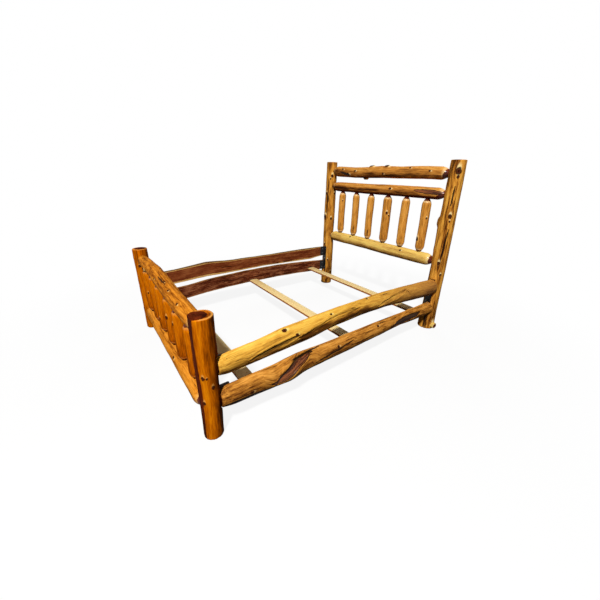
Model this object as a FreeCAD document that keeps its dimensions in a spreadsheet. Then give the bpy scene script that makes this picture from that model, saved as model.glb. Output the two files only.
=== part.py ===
import FreeCAD, Part
import Sketcher
import math
import os

# Rustic log bed for a queen mattress, in millimetres.
# Peeled cedar logs are joined by tapered tenons in bored mortises.
# Sawn half logs make the side rails, and steel brackets hang them on the posts.
# X runs to the right side of the bed, Y from the foot to the head, Z up from the floor.

doc = FreeCAD.newDocument("LogBed")

SIZES = {
    # the bed as a whole, measured between the centres of its posts
    "bed_width": 1545.0,
    "bed_length": 2200.0,
    # posts
    "head_post_height": 1538.0,
    "foot_post_height": 752.0,
    "head_post_radius": 67.0,
    "foot_post_radius": 60.0,
    "post_sway": 8.0,
    "post_edge": 4.0,
    "hewn_flat_depth": 11.0,
    "seat_margin_above": 14.0,
    "seat_margin_below": 42.0,
    "root_stub_radius": 28.0,
    "root_stub_reach": 28.0,
    "root_stub_height": 40.0,
    "knot_radius": 17.0,
    "knot_rise": 9.0,
    "stub_edge": 4.0,
    # rails of the headboard and the footboard: a drop is measured down from the posts' tops
    "head_top_rail_drop": 104.0,
    "head_top_rail_radius": 57.0,
    "head_middle_rail_drop": 273.0,
    "head_middle_rail_radius": 53.0,
    "head_bottom_rail_height": 667.0,
    "head_bottom_rail_radius": 60.0,
    "foot_top_rail_drop": 82.0,
    "foot_top_rail_radius": 52.0,
    "foot_bottom_rail_height": 186.0,
    "foot_bottom_rail_radius": 61.0,
    "rail_bow": 22.0,
    "rail_tenon_radius": 26.0,
    "rail_tenon_length": 54.0,
    "rail_taper": 68.0,
    "rail_shoulder": 2.0,
    # spindles
    "head_spindle_radius": 41.5,
    "foot_spindle_radius": 42.0,
    "spindle_bow": 5.0,
    "spindle_tenon_radius": 19.0,
    "spindle_tenon_length": 30.0,
    "spindle_taper": 54.0,
    "spindle_shoulder": 1.5,
    "taper_margin": 4.0,
    # half-log side rails
    "side_rail_radius": 66.0,
    "side_rail_rise": 50.0,
    "left_upper_rail_height": 440.0,
    "left_lower_rail_height": 262.0,
    "right_upper_rail_height": 436.0,
    "right_lower_rail_height": 222.0,
    # steel brackets at the four corners
    "bracket_height": 305.0,
    "bracket_tab_height": 115.0,
    "bracket_tab_length": 65.0,
    "bracket_plate": 5.0,
    "bracket_inboard": 36.0,
    "bracket_outboard": 22.0,
    "bracket_corner": 6.0,
    "left_bracket_base": 207.0,
    "right_bracket_base": 192.0,
    "head_post_seat": 56.0,
    "foot_post_seat": 44.0,
    # fasteners
    "lag_radius": 4.0,
    "lag_length": 55.0,
    "lag_head_radius": 7.5,
    "lag_head_height": 5.5,
    "lag_end_margin": 28.0,
    "wood_screw_radius": 2.5,
    "wood_screw_length": 32.0,
    "wood_screw_head_radius": 5.5,
    "wood_screw_head_height": 3.0,
    "tab_screw_spacing": 56.0,
    # slats and the steel angles under their ends
    "slat_top": 258.0,
    "slat_thickness": 19.0,
    "slat_width": 89.0,
    "slat_edge": 2.0,
    "angle_leg": 38.0,
    "angle_lip": 26.0,
    "angle_plate": 3.0,
    "angle_width": 60.0,
    "slat_end_gap": 5.0,
    "slat_screw_length": 15.0,
    # clearances
    "joint_gap": 0.3,
    "hole_gap": 0.15,
    "mortise_floor_gap": 3.0,
    "cut_overrun": 20.0,
}

LOG_SIDES = 16
SPINDLE_SIDES = 12
STUB_SIDES = 10
SHANK_SIDES = 8
HEAD_SIDES = 6
SPINDLE_COUNT = 6
LAG_COUNT = 3
QUARTER_TURN = 90.0
HALF_TURN = 180.0
SAME_PLACE = 1e-5

sheet = doc.addObject("Spreadsheet::Sheet", "Sizes")
for row, (alias, number) in enumerate(SIZES.items(), start=1):
    sheet.set(f"A{row}", alias)
    sheet.set(f"B{row}", str(number))
    sheet.setAlias(f"B{row}", alias)
doc.recompute()


class Size:
    """A length known twice: as an expression on the sheet, and as the number it gives."""

    def __init__(self, text, number):
        self.text = text
        self.number = number

    def worked(self, sign, other, number):
        text = other.text if isinstance(other, Size) else repr(other)
        return Size(f"({self.text} {sign} {text})", number)

    def __add__(self, other):
        return self.worked("+", other, self.number + as_number(other))

    __radd__ = __add__

    def __sub__(self, other):
        return self.worked("-", other, self.number - as_number(other))

    def __mul__(self, other):
        return self.worked("*", other, self.number * as_number(other))

    def __truediv__(self, other):
        return self.worked("/", other, self.number / as_number(other))

    def __neg__(self):
        return Size(f"(-{self.text})", -self.number)


def as_number(value):
    return value.number if isinstance(value, Size) else value


def size(alias):
    """The sheet's cell of that alias."""
    return Size(f"Sizes.{alias}", SIZES[alias])


def bind(thing, prop, value):
    """Tie one property to the sheet."""
    thing.setExpression(prop, value.text if isinstance(value, Size) else repr(value))


def place(thing, x=0, y=0, z=0, axis=None, turn=0.0):
    """Set a sub-part's turn and tie its place to the sheet."""
    turned = FreeCAD.Rotation(axis, turn) if axis else FreeCAD.Rotation()
    thing.Placement = FreeCAD.Placement(FreeCAD.Vector(), turned)
    for prop, value in (("x", x), ("y", y), ("z", z)):
        if isinstance(value, Size):
            bind(thing, f"Placement.Base.{prop}", value)
    return thing


X_AXIS = FreeCAD.Vector(1, 0, 0)
Y_AXIS = FreeCAD.Vector(0, 1, 0)
Z_AXIS = FreeCAD.Vector(0, 0, 1)

gap = size("joint_gap")
overrun = size("cut_overrun")
half_width = size("bed_width") / 2
half_length = size("bed_length") / 2


def share_at(shares, along, column):
    """Read one column of a table of shares at a place between its rows."""
    for low, high in zip(shares, shares[1:]):
        if along <= high[0]:
            part = (along - low[0]) / (high[0] - low[0])
            return low[column] + (high[column] - low[column]) * part
    return shares[-1][column]


def timber(name, sides, rings):
    """A drawknifed log: flat facets from ring to ring.

    Each ring is (place along the log, radius, shift in x, shift in y).
    """
    sections = []
    for number, (along, radius, aside, ahead) in enumerate(rings):
        ring = doc.addObject("Part::RegularPolygon", f"{name}_ring_{number}")
        ring.Polygon = sides
        bind(ring, "Circumradius", radius)
        place(ring, aside, ahead, along)
        sections.append(ring)
    loft = doc.addObject("Part::Loft", f"{name}_log")
    loft.Sections = sections
    loft.Solid = True
    loft.Ruled = True
    return loft


def rod(name, sides, radius, length):
    """A straight round tool, tenon or shank with a few flat sides, standing on its end."""
    prism = doc.addObject("Part::Prism", name)
    prism.Polygon = sides
    bind(prism, "Circumradius", radius)
    bind(prism, "Height", length)
    return prism


def end_pointed(name, base, points):
    """Cut flat bevels round the ends of a faceted log, as a pencil is sharpened.

    Each point is (height of the end, bevel along the log, bevel in towards its middle).
    """
    doc.recompute()
    shape = base.Shape
    bevels = []
    for at, along, inwards in points:
        for number, edge in enumerate(shape.Edges, start=1):
            box = edge.BoundBox
            if max(abs(box.ZMin - at.number), abs(box.ZMax - at.number)) > SAME_PLACE:
                continue
            first = next(face for face in shape.Faces if any(edge.isSame(side) for side in face.Edges))
            on_end = first.BoundBox.ZLength < SAME_PLACE
            if on_end:
                bevels.append((number, inwards.number, along.number))
            else:
                bevels.append((number, along.number, inwards.number))
    bevel = doc.addObject("Part::Chamfer", name)
    bevel.Base = base
    bevel.Edges = bevels
    return bevel


def pencilled(name, sides, tenon, length, tenon_length, taper, shoulder, barrel_rings):
    """A log whose two ends taper like a pencil's to round tenons.

    The barrel rings lie between the tapers. The first and last stand square to the tenons.
    """
    start = tenon_length
    finish = length - tenon_length
    first = barrel_rings[0]
    last = barrel_rings[-1]
    rings = [(start, first[1], 0, 0)] + barrel_rings + [(finish, last[1], 0, 0)]
    barrel = timber(name, sides, rings)
    slope = math.cos(math.pi / sides)
    points = [
        (start, taper, (first[1] - tenon - shoulder) * slope),
        (finish, taper, (last[1] - tenon - shoulder) * slope),
    ]
    pointed = end_pointed(f"{name}_pointed", barrel, points)
    core = rod(f"{name}_tenons", sides, tenon, length)
    return joined(f"{name}_turned", [pointed, core])


def block(name, length, width, height):
    box = doc.addObject("Part::Box", name)
    bind(box, "Length", length)
    bind(box, "Width", width)
    bind(box, "Height", height)
    return box


def joined(name, pieces):
    """Several solids made one."""
    if len(pieces) == 1:
        return pieces[0]
    union = doc.addObject("Part::MultiFuse", name)
    union.Shapes = pieces
    return union


def less(name, base, tools):
    """The base with every tool cut away from it."""
    if not tools:
        return base
    cut = doc.addObject("Part::Cut", name)
    cut.Base = base
    cut.Tool = joined(f"{name}_tools", tools)
    return cut


def stub(name, radius, reach, rise):
    """A sawn branch with an eased rim, from the heart of the log out past its surface."""
    branch = rod(f"{name}_branch", STUB_SIDES, radius, reach + rise)
    return end_pointed(name, branch, [(reach + rise, size("stub_edge"), size("stub_edge"))])


nodes = []


def keep(name, thing):
    """Name a finished sub-part after the piece that it is."""
    thing.Label = name
    nodes.append(thing)
    return thing


# Where the brackets stand on each side of the bed
sides = {
    "left": {"sign": -1, "base": size("left_bracket_base")},
    "right": {"sign": 1, "base": size("right_bracket_base")},
}
ends = {
    "foot": {"sign": -1, "seat": size("foot_post_seat"), "radius": size("foot_post_radius"),
             "height": size("foot_post_height")},
    "head": {"sign": 1, "seat": size("head_post_seat"), "radius": size("head_post_radius"),
             "height": size("head_post_height")},
}
plate = size("bracket_plate")
bracket_height = size("bracket_height")
lag_offset = plate + (size("bracket_inboard") - plate) / 2
lag_pitch = (bracket_height - size("lag_end_margin") * 2) / (LAG_COUNT - 1)
lag_rises = [size("lag_end_margin") + lag_pitch * step for step in range(LAG_COUNT)]

# Posts. The rows of each table are shares of the height, the radius and the sway.
post_shares = {
    ("head", "left"): [
        (0.00, 1.06, 0.0, 0.0), (0.12, 1.04, 0.3, 0.3), (0.30, 1.02, 0.6, 0.0), (0.46, 0.98, 0.1, -0.3),
        (0.60, 1.02, -0.3, 0.0), (0.78, 0.97, 0.2, 0.2), (1.00, 0.94, 0.0, 0.0),
    ],
    ("head", "right"): [
        (0.00, 1.14, -0.9, -0.3), (0.07, 1.10, -0.6, -0.2), (0.20, 1.04, 0.0, 0.0), (0.42, 1.00, 0.5, 0.3),
        (0.64, 1.03, 0.0, 0.0), (0.74, 0.98, 0.3, -0.2), (1.00, 0.93, 0.0, 0.0),
    ],
    ("foot", "left"): [
        (0.00, 0.95, 0.0, 0.0), (0.30, 0.95, 0.3, 0.2), (0.62, 0.98, 0.2, 0.1), (1.00, 0.98, 0.0, 0.0),
    ],
    ("foot", "right"): [
        (0.00, 0.94, 0.0, 0.0), (0.28, 0.96, -0.2, 0.3), (0.62, 1.01, 0.0, 0.2), (1.00, 1.06, 0.0, 0.0),
    ],
}
cross_rail_heights = {
    "head": ["head_top_rail", "head_middle_rail", "head_bottom_rail"],
    "foot": ["foot_top_rail", "foot_bottom_rail"],
}


def cross_rail_height(end, rail):
    """A rail's own height, or its drop below the posts' tops where it hangs near them."""
    if f"{rail}_drop" in SIZES:
        return ends[end]["height"] - size(f"{rail}_drop")
    return size(f"{rail}_height")


def post_radius_at(end, side, height):
    """The post's own radius where a rail meets it."""
    along = height.number / ends[end]["height"].number
    return ends[end]["radius"] * share_at(post_shares[end, side], along, 1)


def rail_tip(end, side, rail):
    """How far from the post's centre a rail's tenon ends, with its shoulder at the post's surface."""
    height = cross_rail_height(end, rail)
    along = height.number / ends[end]["height"].number
    lean = size("post_sway") * (share_at(post_shares[end, side], along, 2) * -sides[side]["sign"])
    return post_radius_at(end, side, height) + lean + gap - size("rail_tenon_length")


def post(end, side):
    name = f"{end}_post_{side}"
    inward = -sides[side]["sign"]
    toward = -ends[end]["sign"]
    radius = ends[end]["radius"]
    height = ends[end]["height"]
    sway = size("post_sway")
    edge = size("post_edge")
    rings = []
    for along, girth, aside, ahead in post_shares[end, side]:
        rings.append((height * along, radius * girth, sway * aside, sway * ahead))
    top = rings.pop()
    rings.append((height - edge, top[1], top[2], top[3]))
    rings.append((height, top[1] - edge, top[2], top[3]))
    body = timber(name, LOG_SIDES, rings)
    tools = []

    # mortises bored for the cross rails' tenons
    for rail in cross_rail_heights[end]:
        drill = rod(
            f"{name}_{rail}_mortise",
            LOG_SIDES,
            size("rail_tenon_radius") + gap,
            size("rail_tenon_length") + size("mortise_floor_gap") + overrun,
        )
        start = rail_tip(end, side, rail) - size("mortise_floor_gap")
        place(drill, start * inward, 0, cross_rail_height(end, rail), Y_AXIS, QUARTER_TURN * inward)
        tools.append(drill)

    # the seat hewn for the bracket, and pilot holes for its lag screws
    seat = ends[end]["seat"]
    base = sides[side]["base"]
    margins = size("seat_margin_above") + size("seat_margin_below")
    notch = block(f"{name}_bracket_seat", radius * 4, radius, bracket_height + margins)
    near = seat * toward if toward > 0 else -(seat + radius)
    place(notch, -(radius * 2), near, base - size("seat_margin_below"))
    tools.append(notch)
    for number, rise in enumerate(lag_rises):
        pilot = rod(
            f"{name}_pilot_{number}",
            SHANK_SIDES,
            size("lag_radius") + size("hole_gap"),
            size("lag_length") - plate + size("hole_gap") + overrun,
        )
        depth = seat - (size("lag_length") - plate + size("hole_gap"))
        place(pilot, lag_offset * inward, depth * toward, base + rise, X_AXIS, -QUARTER_TURN * toward)
        tools.append(pilot)
    return body, tools


def shaped_post(end, side, additions, removals):
    """Finish one post with its own stubs and flats, and stand it in its corner."""
    name = f"{end}_post_{side}"
    body, tools = post(end, side)
    solid = less(name, joined(f"{name}_with_knots", [body] + additions), tools + removals)
    place(solid, half_width * sides[side]["sign"], half_length * ends[end]["sign"])
    keep(name, solid)


# The near head post keeps a sawn root stub by the floor and a low knot on its inner side
stub_turn = -10.0
root_stub = stub(
    "head_post_right_root_stub",
    size("root_stub_radius"),
    size("head_post_radius"),
    size("root_stub_reach"),
)
root_stub.Placement = FreeCAD.Placement(
    FreeCAD.Vector(),
    FreeCAD.Rotation(Z_AXIS, stub_turn) * FreeCAD.Rotation(Y_AXIS, QUARTER_TURN),
)
bind(root_stub, "Placement.Base.z", size("root_stub_height"))

head_knot_height_share = 0.66
left_knot_height_share = 0.585
right_knot = stub("head_post_right_knot", size("knot_radius"), size("head_post_radius"), size("knot_rise"))
place(right_knot, 0, 0, size("head_post_height") * head_knot_height_share, Y_AXIS, -QUARTER_TURN)
left_knot = stub("head_post_left_knot", size("knot_radius"), size("head_post_radius"), size("knot_rise"))
place(left_knot, 0, 0, size("head_post_height") * left_knot_height_share, X_AXIS, QUARTER_TURN)

# The near foot post has a flat hewn down its outer face, deepest at the top
flat_lean = math.degrees(math.atan2(SIZES["hewn_flat_depth"], SIZES["foot_post_height"]))
hewn_flat = block(
    "foot_post_right_hewn_flat",
    size("foot_post_radius") * 4,
    size("foot_post_radius"),
    size("foot_post_height") * 2,
)
hewn_flat.Placement = FreeCAD.Placement(FreeCAD.Vector(), FreeCAD.Rotation(X_AXIS, -flat_lean))
flat_top_share = share_at(post_shares["foot", "right"], 1.0, 1)
bind(hewn_flat, "Placement.Base.x", -(size("foot_post_radius") * 2))
bind(hewn_flat, "Placement.Base.y", -(size("foot_post_radius") * (1 + flat_top_share)))

shaped_post("head", "left", [left_knot], [])
shaped_post("head", "right", [root_stub, right_knot], [])
shaped_post("foot", "left", [], [])
shaped_post("foot", "right", [], [hewn_flat])

# Cross rails. The rows are shares of the barrel between the tapers, of the radius, and of the bow.
rail_shares = {
    "head_top_rail": [
        (0.00, 0.99, 0.0), (0.20, 0.97, -0.4), (0.38, 1.01, -0.2), (0.50, 1.05, 0.1), (0.68, 0.99, 0.0),
        (0.86, 0.99, 0.2), (1.00, 0.97, 0.0),
    ],
    "head_middle_rail": [
        (0.00, 0.99, 0.0), (0.35, 1.01, -0.1), (0.65, 1.00, 0.1), (1.00, 0.98, 0.0),
    ],
    "head_bottom_rail": [
        (0.00, 1.01, 0.0), (0.40, 1.00, 0.1), (0.70, 1.00, -0.1), (1.00, 0.97, 0.0),
    ],
    "foot_top_rail": [
        (0.00, 0.90, 0.0), (0.20, 0.93, 0.7), (0.34, 0.97, 1.1), (0.50, 1.00, 0.5), (0.70, 1.00, -0.1),
        (0.88, 0.98, -0.2), (1.00, 0.95, 0.0),
    ],
    "foot_bottom_rail": [
        (0.00, 0.95, 0.0), (0.35, 0.99, 0.2), (0.70, 1.01, 0.1), (1.00, 1.00, 0.0),
    ],
}
spindle_places = [(number + 1) / (SPINDLE_COUNT + 1) - 0.5 for number in range(SPINDLE_COUNT)]
barrel_start = size("rail_tenon_length") + size("rail_taper") + size("taper_margin")
spindle_tenon = size("spindle_tenon_length")


def rail_length(end, rail):
    return size("bed_width") - rail_tip(end, "left", rail) - rail_tip(end, "right", rail)


def place_on_rail(end, rail, across):
    """A spindle's place along its rail, from the left tenon's tip."""
    return half_width + size("bed_width") * across - rail_tip(end, "left", rail)


def barrel_share(end, rail, across):
    """The same place as a share of the rail's barrel."""
    barrel = rail_length(end, rail) - barrel_start * 2
    return (place_on_rail(end, rail, across) - barrel_start).number / barrel.number


def rail_radius_at(end, rail, across):
    return size(f"{rail}_radius") * share_at(rail_shares[rail], barrel_share(end, rail, across), 1)


def rail_rise_at(end, rail, across):
    return size("rail_bow") * share_at(rail_shares[rail], barrel_share(end, rail, across), 2)


def cross_rail(end, rail, side_of_spindles, knots):
    """A log rail with pencil tapers and round tenons, bored for the spindles.

    side_of_spindles is -1 where they enter from below, 1 from above and 0 for none.
    Lying in place, the rail's own x points down and its z to the right.
    """
    radius = size(f"{rail}_radius")
    bow = size("rail_bow")
    length = rail_length(end, rail)
    barrel = length - barrel_start * 2
    rings = []
    for along, girth, rise in rail_shares[rail]:
        rings.append((barrel_start + barrel * along, radius * girth, -(bow * rise), 0))
    body = pencilled(rail, LOG_SIDES, size("rail_tenon_radius"), length, size("rail_tenon_length"),
                     size("rail_taper"), size("rail_shoulder"), rings)
    stubs = []
    for number, (along, turn) in enumerate(knots):
        branch = stub(f"{rail}_knot_{number}", size("knot_radius"), radius, size("knot_rise"))
        branch.Placement = FreeCAD.Placement(
            FreeCAD.Vector(),
            FreeCAD.Rotation(Z_AXIS, turn) * FreeCAD.Rotation(Y_AXIS, QUARTER_TURN),
        )
        bind(branch, "Placement.Base.x", -(bow * share_at(rail_shares[rail], along, 2)))
        bind(branch, "Placement.Base.z", barrel_start + barrel * along)
        stubs.append(branch)
    tools = []
    if side_of_spindles:
        for number, across in enumerate(spindle_places):
            drill = rod(
                f"{rail}_mortise_{number}",
                SPINDLE_SIDES,
                size("spindle_tenon_radius") + gap,
                spindle_tenon + size("mortise_floor_gap") + overrun,
            )
            floor = rail_radius_at(end, rail, across) - spindle_tenon - size("mortise_floor_gap")
            middle = -rail_rise_at(end, rail, across)
            place(
                drill,
                middle - floor * side_of_spindles,
                0,
                place_on_rail(end, rail, across),
                Y_AXIS,
                -QUARTER_TURN * side_of_spindles,
            )
            tools.append(drill)
    solid = less(rail, joined(f"{rail}_with_knots", [body] + stubs), tools)
    place(
        solid,
        rail_tip(end, "left", rail) - half_width,
        half_length * ends[end]["sign"],
        cross_rail_height(end, rail),
        Y_AXIS,
        QUARTER_TURN,
    )
    keep(rail, solid)


cross_rail("head", "head_top_rail", 0, [(0.345, 180.0), (0.42, 200.0), (0.30, 15.0)])
cross_rail("head", "head_middle_rail", -1, [])
cross_rail("head", "head_bottom_rail", 1, [])
cross_rail("foot", "foot_top_rail", -1, [(0.26, 235.0)])
cross_rail("foot", "foot_bottom_rail", 1, [])

# Spindles. The rows are shares of the barrel between the tapers, of the radius, and of the bow.
spindle_shares = [
    (0.00, 0.99, 0.0, 0.0), (0.45, 1.00, 0.5, 0.3), (1.00, 0.99, 0.0, 0.0),
]
spindle_girth_shares = {
    "head": [0.98, 0.95, 0.94, 1.09, 1.01, 1.03],
    "foot": [1.00, 0.96, 1.03, 1.00, 1.04, 0.98],
}
spindle_rails = {
    "head": ("head_bottom_rail", "head_middle_rail"),
    "foot": ("foot_bottom_rail", "foot_top_rail"),
}


def spindle(end, number):
    """A peeled pole with a taper and a round tenon at each end, cut to its own length."""
    name = f"{end}_spindle_{number + 1}"
    across = spindle_places[number]
    lower, upper = spindle_rails[end]
    lower_middle = cross_rail_height(end, lower) + rail_rise_at(end, lower, across)
    upper_middle = cross_rail_height(end, upper) + rail_rise_at(end, upper, across)
    floor = lower_middle + rail_radius_at(end, lower, across)
    ceiling = upper_middle - rail_radius_at(end, upper, across)
    radius = size(f"{end}_spindle_radius") * spindle_girth_shares[end][number]
    bow = size("spindle_bow")
    length = ceiling - floor + spindle_tenon * 2 - gap * 2
    start = spindle_tenon + size("spindle_taper") + size("taper_margin")
    barrel = length - start * 2
    lean = 1 if number % 2 else -1
    rings = []
    for along, girth, aside, ahead in spindle_shares:
        rings.append((start + barrel * along, radius * girth, bow * (aside * lean), bow * (ahead * lean)))
    body = pencilled(name, SPINDLE_SIDES, size("spindle_tenon_radius"), length, spindle_tenon,
                     size("spindle_taper"), size("spindle_shoulder"), rings)
    place(body, size("bed_width") * across, half_length * ends[end]["sign"], floor + gap - spindle_tenon)
    keep(name, body)


for end in ("head", "foot"):
    for number in range(SPINDLE_COUNT):
        spindle(end, number)

# Side rails. The rows are shares of the length, of the radius and of the rise above the rail's own height.
side_rail_shares = {
    "left_upper_rail": [
        (0.000, 0.92, -0.06), (0.020, 1.06, -0.04), (0.115, 1.07, 0.12), (0.190, 1.12, 0.36),
        (0.245, 1.17, 0.52), (0.290, 1.14, 0.44), (0.340, 1.06, 0.32), (0.570, 0.96, 0.32),
        (0.835, 1.11, 0.14), (0.895, 1.10, 0.08), (0.955, 0.97, 0.22),
        (1.000, 0.92, 0.24),
    ],
    "left_lower_rail": [
        (0.000, 0.90, -0.04), (0.020, 1.00, -0.02), (0.155, 1.01, 0.12), (0.235, 1.06, 0.46),
        (0.320, 1.07, 0.66), (0.450, 1.10, 0.80), (0.655, 1.12, 0.76),
        (0.770, 1.09, 0.56), (0.890, 1.07, 0.22), (0.960, 0.99, 0.08), (1.000, 0.93, 0.04),
    ],
    "right_upper_rail": [
        (0.000, 0.78, 0.00), (0.022, 0.95, 0.02), (0.115, 0.97, 0.20), (0.197, 1.08, 0.52),
        (0.279, 1.11, 0.64), (0.394, 0.98, 1.00), (0.524, 0.94, 1.06), (0.654, 1.00, 1.00),
        (0.788, 1.10, 0.60), (0.909, 1.16, 0.22), (0.985, 1.15, 0.06), (1.000, 1.06, 0.04),
    ],
    "right_lower_rail": [
        (0.000, 0.86, 0.08), (0.025, 1.04, 0.10), (0.100, 1.09, 0.08), (0.170, 1.17, 0.00),
        (0.216, 1.30, 0.04), (0.265, 1.14, 0.30), (0.370, 1.06, 0.20),
        (0.640, 0.95, 0.20), (0.770, 0.84, 0.20), (0.880, 0.92, -0.04), (1.000, 0.97, -0.10),
    ],
}
foot_clear = ends["foot"]["seat"] + plate + gap
head_clear = ends["head"]["seat"] + plate + gap
side_rail_length = size("bed_length") - foot_clear - head_clear
tab_height = size("bracket_tab_height")
tab_rises = {
    "lower": tab_height / 2,
    "upper": bracket_height - tab_height / 2,
}
tab_screw_inset = size("bracket_tab_length") / 2

# Slats lie across the bed near the foot, the middle and the head
slat_place_shares = {"foot": -0.3935, "middle": -0.0135, "head": 0.366}
angle_plate = size("angle_plate")
angle_floor = size("slat_top") - size("slat_thickness") - angle_plate
lip_screw_rise = angle_plate + (size("angle_lip") - angle_plate) / 2
angle_screw_offset = size("angle_leg") / 2


def side_rail(side, level):
    """A log sawn down its middle, with the flat face turned to the mattress.

    Lying in place, the rail's own z runs to the head, its y points down and its x stays put.
    """
    rail = f"{side}_{level}_rail"
    outward = sides[side]["sign"]
    radius = size("side_rail_radius")
    rise = size("side_rail_rise")
    height = size(f"{rail}_height")
    rings = []
    for along, girth, lift in side_rail_shares[rail]:
        rings.append((side_rail_length * along, radius * girth, 0, -(rise * lift)))
    body = timber(rail, LOG_SIDES, rings)

    # the sawn face
    waste = block(f"{rail}_waste", radius * 2, radius * 4 + rise * 2, side_rail_length + overrun * 2)
    near = -(radius * 2) if outward > 0 else 0
    place(waste, near, -(radius * 2 + rise * 2), -overrun)
    tools = [waste]

    # pilot holes for the screws through the bracket tabs and the slat angles
    heights = []
    base = sides[side]["base"]
    for step in (-1, 1):
        screw_height = base + tab_rises[level] + size("tab_screw_spacing") / 2 * step
        for along in (tab_screw_inset - gap, side_rail_length - tab_screw_inset + gap):
            heights.append((along, screw_height, size("wood_screw_length") - plate))
    if level == "lower":
        for share in slat_place_shares.values():
            along = size("bed_length") * (0.5 + share) - foot_clear
            heights.append((along, angle_floor + lip_screw_rise, size("slat_screw_length") - angle_plate))
    for number, (along, screw_height, depth) in enumerate(heights):
        pilot = rod(
            f"{rail}_pilot_{number}",
            SHANK_SIDES,
            size("wood_screw_radius") + size("hole_gap"),
            depth + size("hole_gap") + overrun,
        )
        place(pilot, -(overrun * outward), height - screw_height, along, Y_AXIS, QUARTER_TURN * outward)
        tools.append(pilot)
    solid = less(rail, body, tools)
    place(solid, half_width * outward, foot_clear - half_length, height, X_AXIS, -QUARTER_TURN)
    keep(f"side_rail_{level}_{side}", solid)


for side in ("left", "right"):
    for level in ("upper", "lower"):
        side_rail(side, level)

# Slats: sawn pine boards with eased edges, screwed to the angles from below
slat_half = half_width - angle_plate - size("slat_end_gap")


def slat(place_name, share):
    name = f"slat_{place_name}"
    board = block(f"{name}_board", slat_half * 2, size("slat_width"), size("slat_thickness"))
    board_edges = doc.addObject("Part::Chamfer", f"{name}_eased")
    board_edges.Base = board
    doc.recompute()
    long_edges = [
        number
        for number, edge in enumerate(board.Shape.Edges, start=1)
        if abs(edge.tangentAt(edge.FirstParameter).x) > math.cos(math.radians(1))
    ]
    ease = SIZES["slat_edge"]
    board_edges.Edges = [(number, ease, ease) for number in long_edges]
    tools = []
    for sign in (-1, 1):
        pilot = rod(
            f"{name}_pilot_{sign + 1}",
            SHANK_SIDES,
            size("wood_screw_radius") + size("hole_gap"),
            size("slat_screw_length") - angle_plate + size("hole_gap") + overrun,
        )
        reach = half_width - angle_screw_offset
        place(pilot, slat_half + reach * sign, size("slat_width") / 2, -overrun)
        tools.append(pilot)
    solid = less(name, board_edges, tools)
    place(
        solid,
        -slat_half,
        size("bed_length") * share - size("slat_width") / 2,
        size("slat_top") - size("slat_thickness"),
    )
    keep(name, solid)


for place_name, share in slat_place_shares.items():
    slat(place_name, share)


def plane_of(body, role):
    return next(feature for feature in body.Origin.OriginFeatures if feature.Role == role)


def sketch_on(body, name, role):
    sketch = body.newObject("Sketcher::SketchObject", name)
    sketch.AttachmentSupport = [(plane_of(body, role), "")]
    sketch.MapMode = "FlatFace"
    return sketch


def outline(sketch, corners):
    """Draw a closed outline and dimension every corner from the sketch's origin."""
    count = len(corners)
    points = [FreeCAD.Vector(as_number(x), as_number(y), 0) for x, y in corners]
    first = sketch.GeometryCount
    for number in range(count):
        sketch.addGeometry(Part.LineSegment(points[number], points[(number + 1) % count]), False)
    for number in range(count):
        following = first + (number + 1) % count
        sketch.addConstraint(Sketcher.Constraint("Coincident", first + number, 2, following, 1))
    for number, (x, y) in enumerate(corners):
        for kind, value in (("DistanceX", x), ("DistanceY", y)):
            if as_number(value) == 0:
                target = -2 if kind == "DistanceX" else -1
                sketch.addConstraint(Sketcher.Constraint("PointOnObject", first + number, 1, target))
                continue
            index = sketch.addConstraint(
                Sketcher.Constraint(kind, -1, 1, first + number, 1, as_number(value))
            )
            sketch.setExpression(f"Constraints[{index}]", value.text)


def pad(body, name, sketch, length, reverse):
    feature = body.newObject("PartDesign::Pad", name)
    feature.Profile = sketch
    bind(feature, "Length", length)
    feature.Reversed = reverse
    doc.recompute()
    return feature


def drilled(body, name, role, centres, radius, depth, reverse):
    """Round screw holes, drawn with few sides, cut from one of the body's planes."""
    sketch = sketch_on(body, f"{name}_sketch", role)
    for x, y in centres:
        corners = []
        for corner in range(SHANK_SIDES):
            turn = 2 * math.pi * corner / SHANK_SIDES
            corners.append((x + radius * round(math.cos(turn), 6), y + radius * round(math.sin(turn), 6)))
        outline(sketch, corners)
    feature = body.newObject("PartDesign::Pocket", name)
    feature.Profile = sketch
    bind(feature, "Length", depth)
    feature.Midplane = True
    feature.Reversed = reverse
    doc.recompute()
    return feature


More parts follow.
